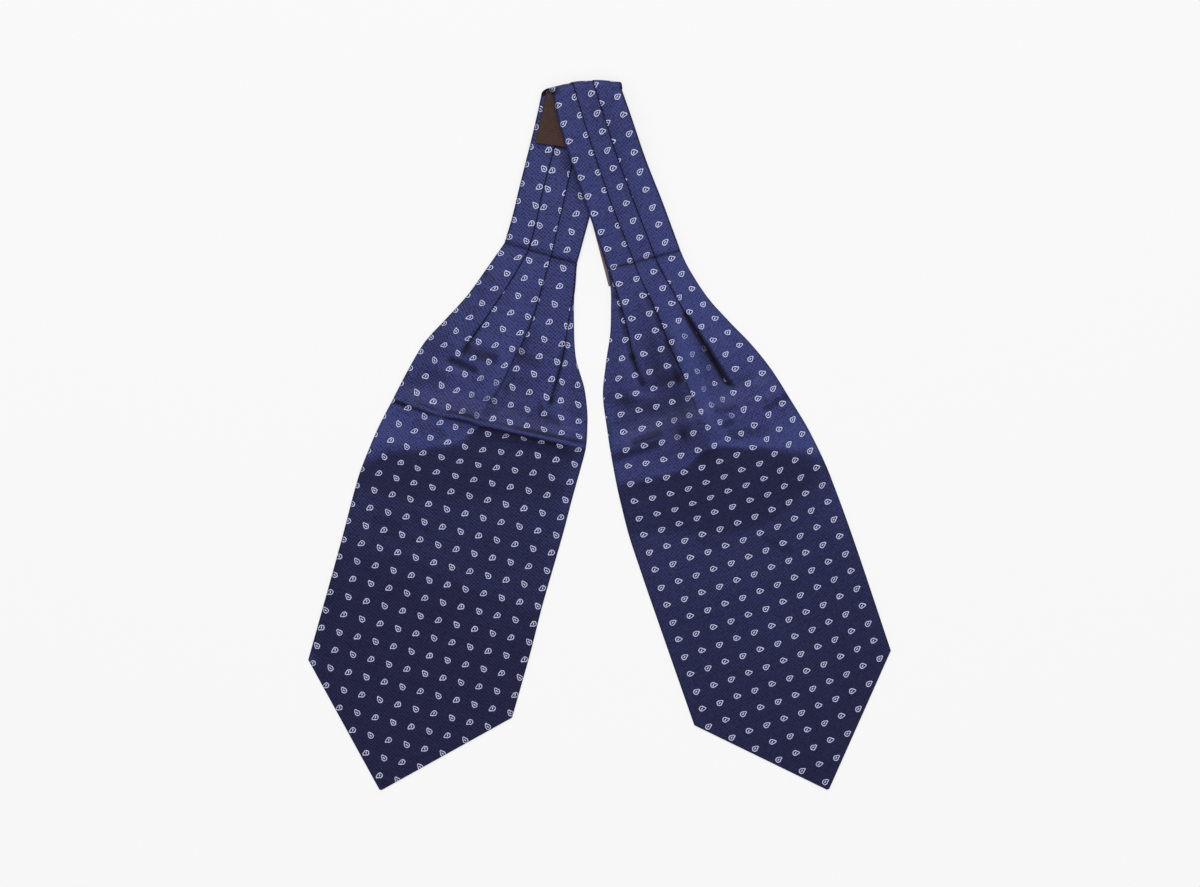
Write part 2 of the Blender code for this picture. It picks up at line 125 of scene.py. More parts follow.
# Distances along a leg: of its point's three corners, and of each pleat's end.
Point = namedtuple("Point", "tip outer_corner inner_corner")
PleatEnds = namedtuple("PleatEnds", "outer middle inner")
# How far the cloth under a pleat's edge stands open near its end, and where that is widest.
Opening = namedtuple("Opening", "pleat along reach height")
# The soft roll across a blade, how far it reaches over and under its top line, and its height.
Crease = namedtuple("Crease", "along slant above below height")
# The crease's crest, a fine ridge: how much lighter it is painted, and how much darker the cloth
# over and under it is painted.
Crest = namedtuple("Crest", "across along light above below")
# How high a leg's underside lies at its edges.
Lift = namedtuple("Lift", "along inner outer")
# Where the cloth's weave lies: its distance from the warp thread at the axis, at the leg's edges
# and over and under the edge of each pleat.
Warp = namedtuple("Warp", "along outer over_a under_a over_b under_b over_c under_c inner")
# How far the weft lies back from "along", at the edges and at the pleats.
Weft = namedtuple("Weft", "along outer a b c inner")
# How far the panel between the outer and the middle pleat has slipped along the leg, at each.
Slip = namedtuple("Slip", "along a b")
# A soft ridge, or with a negative height a trough, from one place to another.
Fold = namedtuple("Fold", "along across to_along to_across width height")
# Painted light and shade: where the cloth's painted sheen changes as it turns from the light, past
# a border across the leg, and in soft streaks and patches.
Border = namedtuple("Border", "across along spread")
Shade = namedtuple("Shade", "change borders")
Streak = namedtuple("Streak", "along across to_along to_across width change")
Patch = namedtuple("Patch", "along across reach_along reach_across change")
# How the woven drops are turned on a leg, and how clearly its twill shows.
Motif = namedtuple("Motif", "even_turn odd_turn relief")
Leg = namedtuple(
    "Leg",
    "seam_x seam_y lean side blade point band inner_extra pleats pleat_ends crisp_ends openings"
    " crease crests seam_tilt lift warps wefts slips folds shades streaks patches fades motif",
)


def table(kind, *rows):
    """A table's rows, each of one kind."""
    return tuple(kind(*row) for row in rows)


LEFT = Leg(
    seam_x=-46.0,
    seam_y=136.78,
    lean=math.radians(16.38),
    side=-1,
    blade=table(
        Outline,
        (0, 26.4, 30.2), (22, 33.8, 34.7), (45, 41.9, 41.2), (67, 52.5, 49), (90, 63.5, 63),
        (112, 69, 71.4), (135, 73.5, 75.9), (168, 79.4, 76.4), (202, 82.1, 77.3),
        (248, 80.9, 77.5), (292, 80.2, 79), (341, 79.5, 79.5),
    ),
    point=Point(tip=419.7, outer_corner=341.5, inner_corner=340.0),
    band=table(
        Outline,
        (-114, 31.2, 25.7), (-92, 29.6, 27), (-45, 27.6, 29.2), (-15, 26.3, 29.9), (0, 26.4, 30.2),
    ),
    inner_extra=22.2,
    pleats=table(
        Pleats,
        (-114, 11.6, -4, -25), (-80, 10.8, -4.8, -27), (-50, 10.2, -6.7, -28),
        (-10, 7.9, -9.1, -28.8), (0, 7.9, -9.7, -29.2), (10, 10.2, -9.8, -31.2),
        (20, 12.5, -9.8, -33.2), (30, 15.4, -9.9, -34.5), (45, 20, -9.8, -36.2),
        (65, 26.3, -7.8, -39), (85, 32.8, -4, -40), (104, 37, -0.9, -40.2), (120, 39, 4, -40.4),
        (130, 40, 5.8, -40.6), (170, 41, 6.5, -41),
    ),
    pleat_ends=PleatEnds(outer=88.0, middle=126.0, inner=104.0),
    # Where each pleat's painted shade line begins to soften.
    crisp_ends=PleatEnds(outer=76.0, middle=58.0, inner=98.0),
    openings=table(
        Opening,
        ("outer", 78, 26, 0.9), ("middle", 96, 30, 0.7), ("inner", 92, 24, 0.9),
    ),
    crease=Crease(along=133.6, slant=0.04, above=17.0, below=12.0, height=4.2),
    crests=table(
        Crest,
        (-84, 128.6, 0.1, 0.1, 0), (-68, 129.8, 0.34, 0.46, 0), (-58, 130.5, 0.4, 0.56, 0.1),
        (-45, 131.4, 0.4, 0.62, 0.14), (-32, 132.3, 0.4, 0.6, 0.14),
        (-20, 133.3, 0.38, 0.44, 0.14), (-9, 133.9, 0.34, 0.26, 0.1), (0, 134.8, 0.3, 0.28, 0.2),
        (8, 134.8, 0.34, 0.46, 0.6), (15, 134.5, 0.38, 0.64, 0.74), (22, 135, 0.38, 0.6, 0.76),
        (30, 135.9, 0.32, 0.5, 0.72), (36, 136.4, 0.04, 0.16, 0.3), (42, 136.8, 0.24, 0.44, 0.6),
        (50, 136.2, 0.3, 0.46, 0.7), (58, 135.8, 0.2, 0.2, 0.72), (68, 135.2, 0.16, 0, 0.84),
        (78, 135, 0, 0, 0.7),
    ),
    seam_tilt=0.0,
    lift=table(Lift, (-114, 0, 0), (0, 0, 0)),
    warps=table(
        Warp,
        (-114, 85, 65.4, 31, 15.4, -16.7, -35.7, -49.2, -36.2),
        (-75, 83.8, 65.7, 30.5, 14.6, -16.7, -36.2, -49.2, -37.2),
        (-30, 84.2, 66.5, 31.2, 13.5, -16.8, -37.3, -49.3, -38.3),
        (0, 85.6, 65.6, 30.9, 13.3, -17.4, -36.6, -49.4, -50.4),
        (25, 84.4, 63.7, 37.4, 11.7, -15.5, -39.2, -50.1, -53.3),
        (45, 83, 60.6, 42.1, 10, -15.1, -42, -52.3, -59.8),
        (62, 84, 58, 44.6, 8.9, -13.7, -44.3, -53.4, -63.3),
        (76, 84.8, 53.2, 47.9, 8.6, -11.3, -45.1, -51.5, -70.8),
        (88, 84.8, 52.3, 52.3, 9.1, -9, -45.7, -50.9, -76),
        (103, 84, 52.6, 52.6, 9, -5.1, -45.9, -48.2, -76.8),
        (117, 83.1, 52.2, 52.2, 9.5, 2.9, -43.8, -43.8, -76.8),
        (130, 82.5, 51.4, 51.4, 8.5, 8.5, -40.5, -40.5, -75.2),
        (143, 82.4, 48.2, 48.2, 8.1, 8.1, -40.5, -40.5, -75),
        (160, 82.7, 42.7, 42.7, 7.8, 7.8, -40.1, -40.1, -74.6),
        (180, 83, 41, 41, 7.8, 7.8, -39.5, -39.5, -74.5),
        (205, 83.5, 42.4, 42.4, 8.7, 8.7, -38.6, -38.6, -74.4),
        (250, 84.4, 44.9, 44.9, 10.6, 10.6, -36.6, -36.6, -73.1),
        (312, 86, 47.4, 47.4, 13.1, 13.1, -34.3, -34.3, -72.6),
        (420, 89.7, 50.9, 50.9, 16.7, 16.7, -30.8, -30.8, -69),
    ),
    wefts=table(
        Weft,
        (-114, 323.3, 323.3, 323.1, 321, 321), (-75, 325.4, 324.4, 323.8, 321.5, 321.5),
        (-50, 326.2, 325, 324.1, 321.9, 321.9), (-20, 326.4, 325.4, 324, 322.2, 322.2),
        (0, 326.1, 325.1, 324, 322.5, 322.2), (25, 324.5, 325.4, 324.1, 322.6, 321.5),
        (45, 322, 325.8, 324.1, 322.9, 321.4), (62, 320.3, 325.5, 323.5, 322.8, 321.1),
        (76, 318.3, 325.5, 322.7, 322.9, 321), (88, 317.2, 324.7, 322.7, 322.8, 321.1),
        (102, 316.5, 323.8, 323, 323, 321), (117, 316.6, 323.5, 322.8, 321.1, 318),
        (134.5, 316.2, 323.1, 323.1, 316.3, 311.6), (139, 316.1, 322.7, 322.3, 312.5, 310.4),
        (147, 316.1, 322.2, 321.8, 311.4, 309.8), (162, 316.7, 321, 319.1, 311.3, 309.9),
        (177, 316.7, 319.4, 315.6, 311.2, 309.8), (190, 316.9, 316.5, 314.1, 311.4, 309.6),
        (205, 316.6, 314.6, 314.1, 311.5, 309.5), (312, 315.9, 314.2, 313.6, 311.4, 309.3),
        (420, 315.6, 313.9, 313.3, 311, 309.5),
    ),
    slips=table(Slip, (-114, 0, 0), (0, 0, 0)),
    folds=table(
        Fold,
        # Hollows and small folds where the pleats open out
        (82, 44, 92, 22, 5, 1.5), (78, 30, 86, 8, 4, -0.6), (97, 40, 95, 22, 4, -0.6),
        (104, 60, 108, 28, 6, 1), (60, 2, 130, 9, 5, 0.9), (96, -40, 118, -34, 5, 0.9),
        (100, -52, 116, -70, 6, 0.8), (112, -4, 116, -34, 5, 0.8), (118, 54, 122, 24, 5, 0.7),
        (146, 68, 158, 24, 7, 1.3), (166, 76, 172, 52, 7, 1), (20, 24, 70, 48, 6, 0.6),
        # Faint swells of the plain part
        (214, 70, 218, 30, 9, 0.35), (255, 76, 262, 48, 8, 0.35), (232, -20, 246, -66, 12, 0.35),
        (208, -10, 204, -60, 10, 0.35), (300, -40, 330, -10, 14, 0.3),
    ),
    # Painted light and shade: the cloth is painted darker past each border, or lighter where the
    # change is positive.
    shades=(
        Shade(-0.56, table(
            Border,
            (-80, 130.6, 1.6), (-58, 132, 1.6), (-32, 133.8, 1.6), (-9, 135.4, 1.8), (0, 135.9, 2),
            (5, 137.2, 3), (9, 142.5, 4), (13, 148, 5), (17, 152, 5), (25, 157, 6), (33, 160.5, 7),
            (45, 167, 9), (57, 170, 12), (68, 175, 14), (75, 182, 16), (84, 190, 16),
        )),
        Shade(0.08, table(
            Border,
            (-80, 166, 16), (-40, 179, 14), (0, 193, 12), (25, 202, 10), (60, 207, 10),
            (84, 205, 14),
        )),
        Shade(-0.1, table(
            Border,
            (-84, 259, 14), (-20, 256, 18), (20, 254, 26), (84, 250, 30),
        )),
    ),
    # Painted light and shade in soft streaks: dark where shadow lies, light where the silk shines.
    streaks=table(
        Streak,
        # shadows of the neck label and of the right leg on the band
        (-77.5, 22, -80, 4, 2, -0.3), (-92, 13, -70, -2, 4.2, -0.24),
        (-70, -2, -46, -18, 3.4, -0.2),
        # the seam and the outer flank
        (-1, 27, -1, -31, 2.2, -0.22), (24, 37, 30, 27, 2.4, -0.25), (37, 39, 40, 32, 3, -0.18),
        (50, 42, 54, 38, 3, -0.1),
        # the outer pleat's end and its two hollows
        (40, 19, 66, 26.5, 1.6, -0.08), (66, 26.8, 89, 33, 2, -0.3), (84.5, 30, 85, 9, 4, -0.5),
        (95.5, 39.5, 97.8, 21, 2.6, -0.6), (90, 38, 90.5, 22, 1.6, 0.15),
        (101, 40, 103, 30, 2.2, 0.15),
        # the middle pleat
        (24, -10.5, 72, -8.5, 1.8, -0.2), (77, -7, 80, -21, 3.6, -0.25),
        (66, -11, 104, -4, 2.8, -0.16), (104, -6.5, 122, -3, 3.2, -0.18),
        (112, 0.5, 127, 3.5, 2.8, -0.28), (60, 4, 92, 1, 4, 0.16), (92, 2, 112, 5.5, 2.8, 0.2),
        # the inner pleat and its end
        (58, -38.5, 104, -41.5, 2.3, -0.42), (102, -40, 106, -40, 1.8, -0.3),
        (108, -33, 115, -36, 2, -0.3), (115, -38, 119, -50, 2.6, -0.25),
        (107, -47, 113, -56, 3, 0.16), (123, -46, 119, -66, 2.6, 0.14),
        (124, -18, 124, -44, 2, 0.06),
        # round the crease
        (135.6, -3, 134.6, -58, 1.8, -0.12), (138.6, 74, 137.6, 63, 2, -0.2),
        (142.5, 72, 143.5, 14, 2.4, 0.18), (150, 52, 151.5, 32, 5, -0.4),
        (150, 13, 158, 28, 2.4, 0.2),
        # faint folds lower down
        (226, 62, 226, 42, 2.4, -0.1), (214, 34, 224, 20, 3, -0.07),
        (233, 50, 234, 24, 2.4, -0.08), (250, 40, 252, 12, 2.4, -0.07),
        (258, -10, 261, -52, 2.2, -0.05),
    ),
    # Painted light and shade in soft patches.
    patches=table(
        Patch,
        (84, 52, 18, 12, -0.18), (111, 46, 6, 10, -0.24), (120, 64, 7, 9, -0.16),
        (106, 56, 24, 10, -0.14), (88, -22, 26, 12, -0.12), (98, -16, 5, 10, -0.12),
        (84, -54, 18, 9, -0.2), (106, -62, 8, 7, -0.16), (116, -20, 14, 16, -0.1),
        (127, 16, 6, 26, -0.14), (90, 14, 5, 10, -0.14), (124, 60, 12, 16, -0.08),
        (152, -30, 14, 40, 0.04), (45, 2, 40, 9, 0.07), (20, -30, 12, 6, -0.08),
        (35, 36, 30, 8, -0.08), (154, 60, 11, 24, 0.34), (121, -42, 8, 26, -0.22),
        (60, -14, 36, 6, -0.09), (100, -66, 20, 8, -0.1), (154, -70, 10, 14, 0.1),
        (272, -44, 12, 18, 0.04), (96, -8, 26, 6, -0.08), (156, 30, 5, 8, 0.12),
        (146, 20, 5, 9, 0.14), (166, 78, 10, 8, 0.12), (166, -76, 40, 8, 0.16),
        (224, 72, 8, 14, 0.06), (230, -30, 14, 24, -0.04), (268, 70, 9, 12, 0.06),
        (340, 78, 4, 5, 0.3), (-55, 12, 30, 30, 0.07),
    ),
    # Painted glare and shade over the woven drops: where they dim.
    fades=table(
        Streak,
        (103, 8, 131, 14, 7, 0.65), (117, 0.5, 118, 1, 3, 0.5), (137, -14, 136.4, -46, 2.2, 0.35),
        (75, -9.6, 76, -9.6, 2.6, 0.45),
    ),
    motif=Motif(even_turn=30.0, odd_turn=-26.0, relief=1.1),
)
RIGHT = Leg(
    seam_x=33.22,
    seam_y=131.42,
    lean=math.radians(19.17),
    side=1,
    blade=table(
        Outline,
        (0, 28.1, 28.2), (11.5, 29, 30.3), (27.5, 31.9, 35.8), (42.5, 36, 41.5),
        (64.5, 45.2, 52.8), (87.5, 55.8, 63), (109.5, 63.5, 67.6), (132.5, 68.9, 71.8),
        (165.5, 75.6, 76.3), (199.5, 78.9, 78.8), (245.5, 79.7, 79.1), (340.5, 78.7, 79),
    ),
    point=Point(tip=420.3, outer_corner=337.5, inner_corner=342.0),
    band=table(
        Outline,
        (-127.5, 26.1, 23.6), (-108.5, 26.2, 26.6), (-77.5, 25.9, 27.6), (-32.5, 27.5, 27.8),
        (0, 28.1, 28.2),
    ),
    inner_extra=12.2,
    pleats=table(
        Pleats,
        (-127.5, 7, -7.5, -22.8), (-102.5, 6.8, -8.6, -25.4), (-82.5, 6.3, -9, -26.4),
        (-52.5, 7, -9.1, -26.8), (-22.5, 8.1, -8.1, -26.9), (0, 8.8, -7.4, -27),
        (7.5, 9.3, -7.1, -27), (17.5, 10.8, -6.2, -27), (27.5, 12.7, -5.2, -27.5),
        (47.5, 16.2, -3.4, -29), (67.5, 20.6, -2.8, -31.6), (87.5, 25, -0.9, -32.4),
        (97.5, 26.1, 0, -32.8), (112.5, 30, 0.1, -33.4), (127.5, 32, 0.5, -34),
        (167.5, 34, 0.8, -35),
    ),
    pleat_ends=PleatEnds(outer=112.5, middle=127.5, inner=87.5),
    # Where each pleat's painted shade line begins to soften.
    crisp_ends=PleatEnds(outer=100.0, middle=88.0, inner=66.0),
    openings=table(Opening, ("outer", 90, 34, 2.2), ("middle", 80, 36, 0.9), ("inner", 72, 24, 1)),
    crease=Crease(along=129.5, slant=0.0, above=20.0, below=28.0, height=2.6),
    crests=(),
    seam_tilt=0.08,
    # Over the left leg and the doubled label at the fold, then down onto the surface.
    lift=table(
        Lift,
        (-127.5, 6.2, 6.2), (-86.5, 6.2, 6.2), (-62.5, 4.7, 3.6), (-42.5, 3.9, 2.4),
        (-22.5, 2.4, 1.7), (0, 1.5, 1.5), (14.5, 1.45, 1.45), (49.5, 0, 0),
    ),
    warps=table(
        Warp,
        (-127.5, 74.3, 55, 17.6, 3.2, -26.3, -42.3, -66.9, -43.1),
        (-100, 74.7, 55.2, 18.6, 3, -26.4, -43.4, -66.7, -44.3),
        (-73, 76.1, 56.7, 19.8, 4, -26.1, -44, -67, -45),
        (-45, 77.8, 58, 19.8, 3.3, -26.6, -44.9, -67, -46),
        (0, 78, 58.7, 19.7, 2.9, -25.8, -45.8, -68.6, -70.8),
        (11, 77.1, 58, 19.5, 2.7, -24.9, -45.4, -70.6, -74.5),
        (24, 76.4, 55.9, 19.3, 2.2, -23.9, -45.8, -69.6, -77.6),
        (37, 76.4, 53.2, 19.6, -0.1, -22.7, -46.9, -69.3, -81),
        (51, 76.6, 51.6, 22.2, -1.2, -21.9, -48.3, -66.6, -83.2),
        (65, 76.9, 49.3, 26.6, -3.2, -21, -50, -60.6, -83.1),
        (78, 77.2, 47, 30.6, -4.2, -20.1, -50.7, -53.5, -82.3),
        (88, 77.4, 45.3, 35.9, -3, -18.7, -50.4, -50.4, -82.1),
        (101, 77, 44.5, 39, -2.1, -13.6, -48.7, -48.7, -82),
        (112.5, 76.7, 42.3, 42.3, -2.6, -9.6, -47.6, -47.6, -81.6),
        (127.5, 76.4, 40.5, 40.5, -5, -5, -45.3, -45.3, -81.4),
        (147, 76.2, 36.3, 36.3, -4.5, -4.5, -41, -41, -80.8),
        (163, 76, 29.7, 29.7, -3.2, -3.2, -38.6, -38.6, -80),
        (179, 76.3, 30.1, 30.1, -2.3, -2.3, -37.5, -37.5, -80.5),
        (204, 77.7, 32.4, 32.4, -1, -1, -36.7, -36.7, -80.4),
        (303, 79.2, 33.7, 33.7, 0.4, 0.4, -35.5, -35.5, -79.7),
        (420, 79.8, 34.3, 34.3, 0.6, 0.6, -35.4, -35.4, -79.1),
    ),
    wefts=table(
        Weft,
        (-127.5, 305.5, 308.7, 311.2, 311.9, 311.9), (-90, 306.9, 309.8, 312.4, 312.5, 312.5),
        (-50, 308.3, 311.9, 314.4, 314, 314), (-10, 308.3, 312.1, 315, 314.7, 314.2),
        (20, 307.1, 311.8, 315.1, 314.6, 312), (50, 306.7, 311, 315.2, 314.8, 310.5),
        (75, 304.7, 309.9, 315.8, 314.9, 309.8), (100, 300.7, 309.8, 316.1, 313.5, 308.9),
        (117, 300.7, 309.4, 315.5, 313, 308.7), (133, 299.4, 310.3, 314.4, 312.7, 307.5),
        (150, 299.1, 311.7, 314.5, 312, 305.2), (163, 298.4, 311.4, 313.2, 311.5, 305.3),
        (180, 298.4, 309.4, 309.6, 309.8, 304.8), (195, 298.8, 307.1, 306.9, 306.2, 304.8),
        (208, 298.5, 304.9, 306.1, 305.3, 304.8), (250, 298, 303.4, 304.8, 305, 305.3),
        (303, 297.7, 302.8, 304.5, 304.6, 304.8), (420, 297.5, 302, 303.7, 303.9, 304.9),
    ),
    slips=table(
        Slip,
        (-127.5, 4.6, 4.6), (-101, 4.1, 4.1), (-73, 2.8, 2.8), (-50, 2, 2), (-31, 1.4, 1.4),
        (10, 1.6, 1.4), (24, 2.1, 0), (38, 2.5, -1.4), (51, 2.1, -1), (65, 2, -2.3),
        (78, 2.4, -1.9), (92, 2.8, -2.8), (103, 2, -2.3), (114, 0, -1), (126, 0, 0),
    ),
    folds=table(
        Fold,
        (40, 30, 100, 44, 6, 0.8), (40, 8, 120, 10, 6, 1.4), (70, -14, 112, -14, 5, 0.8),
        (60, -38, 84, -44, 5, 0.7), (92, -34, 104, -46, 5, 0.8), (112, 40, 120, 60, 5, 1),
        (126, -70, 127.5, -26, 3.6, 1.6), (126, -14, 125, 6, 4, 1.2), (125, 14, 124, 30, 3.6, 1.4),
        (129, 50, 130, 70, 4, 1.2), (148, -70, 151, -18, 8, 0.9), (150, 16, 162, 60, 8, 1.1),
        (206, -70, 214, -40, 10, 0.35), (230, -40, 240, 10, 12, 0.35),
        (222, 30, 216, 74, 10, 0.35), (262, 10, 258, 50, 10, 0.3), (300, -20, 312, 20, 12, 0.3),
    ),
    # Painted light and shade: the cloth is painted darker past each border, or lighter where the
    # change is positive.
    shades=(
        Shade(-0.56, table(
            Border,
            (-80, 152, 11), (-70, 153, 9), (-47, 156.5, 6), (-30, 158, 5), (-20, 156.5, 5),
            (-12, 153, 5), (-3, 150, 4), (3, 150, 4), (10, 151, 5), (17, 154, 5), (25, 157, 5),
            (40, 161.5, 6), (48, 166.5, 9), (66, 174.5, 14), (75, 180, 17), (84, 184, 18),
        )),
        Shade(0.14, table(
            Border,
            (-84, 192, 16), (-70, 195, 12), (-45, 201, 9), (-20, 209, 7), (0, 217, 7),
            (28, 216, 8), (50, 208, 10), (70, 198, 14), (84, 192, 16),
        )),
        Shade(-0.15, table(
            Border,
            (-84, 330, 190), (0, 320, 180), (84, 330, 190),
        )),
    ),
    # Painted light and shade in soft streaks: dark where shadow lies, light where the silk shines.
    streaks=table(
        Streak,
        (0.2, 9, 0.2, 29, 1.4, -0.34), (0.2, 8, 0.2, -8, 1.4, -0.2),
        # the inner pleat, and the hollow under its end
        (-14, -28.5, 6, -28.6, 1.8, -0.3), (6, -28.2, 30, -28.4, 1.1, -0.3),
        (17, -32.5, 20, -27.8, 1.2, -0.4), (30, -28.8, 66, -32, 2.3, -0.4),
        (66, -32, 87, -31.5, 2.4, -0.45), (89, -29, 90, -8, 5, -0.17),
        # the middle pleat
        (24, -6.8, 52, -4, 2.2, -0.35), (52, -4, 66, -3, 2.4, -0.2), (64, -3.2, 94, -4.2, 3, -0.3),
        (94, -6, 116, -7.5, 7, -0.2),
        # the outer pleat stands open
        (6, 9, 12, 9.8, 1.6, -0.3), (12, 10, 44, 14.5, 1.3, -0.12),
        (49, 16.2, 78, 22.8, 2.3, -0.9), (78, 22.8, 107, 29.2, 2.5, -0.9),
        (60, 17, 104, 26, 4, -0.14), (108, 30.5, 111, 31.5, 2, -0.35),
        (109, 34, 108, 47, 3.6, -0.22), (66, 15, 84, 18, 2.6, -0.06), (84, 19, 102, 23, 4, -0.12),
        # the shiny strip between the pleats
        (22, 3.5, 60, 6.5, 3.4, 0.06), (60, 8, 106, 7, 5.2, 0.42), (104, 8, 146, 13, 3.2, 0.34),
        (40, 18, 60, 24, 3, 0.12), (100, 3, 112, 6, 3, 0.1),
        # small folds on the inner side
        (91, -58, 96, -46, 4.5, -0.14), (96, -46, 105, -31, 5, -0.18),
        (92, -42, 98, -28, 1.8, 0.14), (126.5, -51, 126, -33, 2.6, -0.38),
        (133, -69, 133.4, -37, 3.4, -0.42), (129.4, -34, 129.6, -60, 1.2, 0.1),
        (122, -62, 121, -32, 2.6, 0.1), (112, -40, 118, -26, 2.2, 0.14),
        (118, -5.5, 128, -5.5, 2, 0.18),
        # small folds on the outer side
        (123.5, 14, 126.5, 26, 3.2, -0.25), (137, 12, 136, 22, 2.4, -0.38),
        (131, 12, 130.5, 24, 1.8, 0.1), (134.8, 51, 132, 68, 2.8, -0.36),
        (146.5, 20, 149.5, 42, 4, -0.24), (147, 4, 155.5, 26, 2.4, 0.32),
        (155.5, 26, 161, 44, 3.4, 0.34), (161, 44, 168, 60, 5, 0.14),
        # faint folds lower down
        (214, -28, 222, -10, 3, -0.07), (228, 18, 242, 32, 3, -0.12), (262, 4, 266, 30, 3, -0.06),
    ),
    # Painted light and shade in soft patches.
    patches=table(
        Patch,
        (72, -15, 26, 12, -0.36), (80, -19, 8, 9, -0.1), (40, -14, 14, 8, -0.08),
        (56, -48, 34, 10, -0.14), (92, -52, 12, 12, -0.2), (112, -22, 18, 16, -0.3),
        (142, -40, 10, 34, -0.13), (143, 14, 6, 16, -0.1), (-80, 4, 24, 8, -0.06),
        (118, -46, 18, 20, -0.15), (110, -50, 6, 16, -0.18), (132, -15, 8, 6, -0.42),
        (134, -15, 3.5, 3.5, -0.15), (128, -6, 24, 6, -0.22), (145, -14, 7, 14, -0.18),
        (145, -34, 5, 8, -0.1), (130, -1, 20, 3, -0.1), (60, 38, 50, 20, 0.14),
        (166, 72, 12, 14, 0.1), (122, 38, 24, 16, -0.08), (158, 64, 13, 14, 0.2),
        (178, 78, 12, 8, 0.16), (215, 78, 36, 9, 0.1), (215, -56, 14, 18, 0.07),
        (242, -20, 18, 46, 0.04), (-70, 7.5, 50, 2.6, -0.14), (-70, -8, 50, 2.6, -0.08),
        (-40, 20, 44, 9, 0.12), (20, 30, 30, 12, 0.1), (-106, 10, 22, 16, -0.12),
        (184, -66, 22, 18, 0.08), (290, -50, 50, 30, -0.04), (300, 50, 60, 30, -0.04),
    ),
    # Painted glare and shade over the woven drops: where they dim.
    fades=table(
        Streak,
        (64, 10.5, 96, 12.3, 4, 0.5), (76, 21.5, 96, 19.5, 3.6, 0.75),
        (106, 12.5, 134, 21, 5.5, 0.65), (58, 16, 76, 20, 4, 0.9), (94, -10.7, 95, -10.7, 4, 0.4),
        (107.6, -3.4, 108.2, -3.4, 2.5, 0.45), (121, -17, 121, -6.5, 4, 0.45),
        (134, -20, 134.6, -20, 4, 0.55), (9, -29.2, 11, -29.4, 1.4, 1),
    ),
    motif=Motif(even_turn=-28.0, odd_turn=26.5, relief=0.75),
)

# The neckband
SHOULDER_DROP = 0.45      # rounding of its long edges, down and in
SHOULDER_INSET = 0.9
SHOULDER_EASE = 0.25
EDGE_SLOT = 2.2           # depth of the slot that parts its two faces
EDGE_NOSE = 0.3           # rounding of the slot's two lips
EDGE_BULGE = 0.45         # height of each face's edge, as a share of half the band's
BAND_PANEL_POINTS = (16, 14, 18)    # points across each panel, from its leg's first edge
BAND_PANEL_EASE = 0.8
BAND_STEPS = 58           # rings on each leg
BAND_CROWDING = 1.15      # power by which its rings stand closer near the seams
EXTRA_POWER = 3           # how late its inner edge runs past the outer one
PLEATS_CLOSE = (0.72, 0.95)         # where the left leg's pleats flatten into the fold

# The fold at the neck
FOLD_GAP = 2.9            # between the two legs there
FOLD_AXIS_HEIGHT = BAND_WALL + FOLD_GAP * 0.5
FOLD_BOW = 3.2            # how far the fold bows out in its middle
BOW_POWER = 4
FOLD_STEPS = 20
FOLD_PLEATS_OPEN = 0.35   # share of the way round, where the outer face's pleats stand up
FOLD_PRESSED = 0.65       # how much the fold presses them flat, and the reach of that
FOLD_PRESS_REACH = 0.22
FOLD_SHADE = 0.3          # painted shade: how much darker the fold is underneath, and at its -X edge
FOLD_CORNER_SHADE = 0.7
FOLD_CORNER = (0.03, 0.16)
LIT = 0.75                # painted sheen of the cloth that faces the light

# Labels
LABEL_WALL = 1.0
LABEL_MARGIN = 3.4        # from the neck label's long edges to the band's
LABEL_START = 0.682       # its ends, as a share of a leg's band from the seam
LABEL_STEPS = 20
LABEL_ACROSS = 24
LABEL_ROUND = 0.3
CARE_LABEL_LENGTH = 48.5
CARE_LABEL_WIDTH = 21.0
CARE_LABEL_ALONG = -12.5  # its middle, along the right leg
CARE_LABEL_EDGE = 29.6    # its long edge, inward of the axis at that middle
CARE_LABEL_TURN = math.radians(4.6)
CARE_LABEL_CUTS = 20
CARE_LABEL_WAVE = 0.12    # height of the tape's slight waves, and how they run along it
CARE_LABEL_WAVES = 9.0
CARE_LABEL_THIN = 0.35    # how much thinner its rim is, and where that starts
CARE_LABEL_RIM = 0.94
CARE_LABEL_SHARP = math.radians(60.0)


# ---------------------------------------------------------------- measures along a leg

def smooth(value, start, end):
    """Soft step from 0 at start to 1 at end."""
    part = min(max((value - start) / (end - start), 0.0), 1.0)
    return part * part * (3.0 - 2.0 * part)


def bell(offset, reach):
    """A soft bump: 1 at 0, sinking to nothing past about twice its reach."""
    return math.exp(-(offset / reach) ** 2)


def knot_slope(before, after):
    """Slope at a table's row that never overshoots its neighbours."""
    if before * after <= 0.0:
        return 0.0
    return 2.0 * before * after / (before + after)


def measure(rows, column, along, by="along"):
    """A table column's value at a distance along the leg, on a smooth curve."""
    marks = [getattr(row, by) for row in rows]
    values = [getattr(row, column) for row in rows]
    if along <= marks[0]:
        return values[0]
    if along >= marks[-1]:
        return values[-1]
    spans = range(len(rows) - 1)
    rises = [(values[i + 1] - values[i]) / (marks[i + 1] - marks[i]) for i in spans]
    slopes = [rises[0]]
    slopes += [knot_slope(before, after) for before, after in zip(rises, rises[1:])]
    slopes.append(rises[-1])
    i = next(index for index in spans if along <= marks[index + 1])
    step = marks[i + 1] - marks[i]
    part = (along - marks[i]) / step
    rest = 1.0 - part
    return (
        values[i] * rest * rest * (1.0 + 2.0 * part)
        + values[i + 1] * part * part * (3.0 - 2.0 * part)
        + slopes[i] * step * part * rest * rest
        - slopes[i + 1] * step * part * part * rest
    )


def fold_along(leg):
    """Distance along a leg where the fold at the neck begins."""
    return leg.band[0].along


def edges(rows, along):
    """A table's outer and inner values at a distance along the leg."""
    return measure(rows, "outer", along), measure(rows, "inner", along)


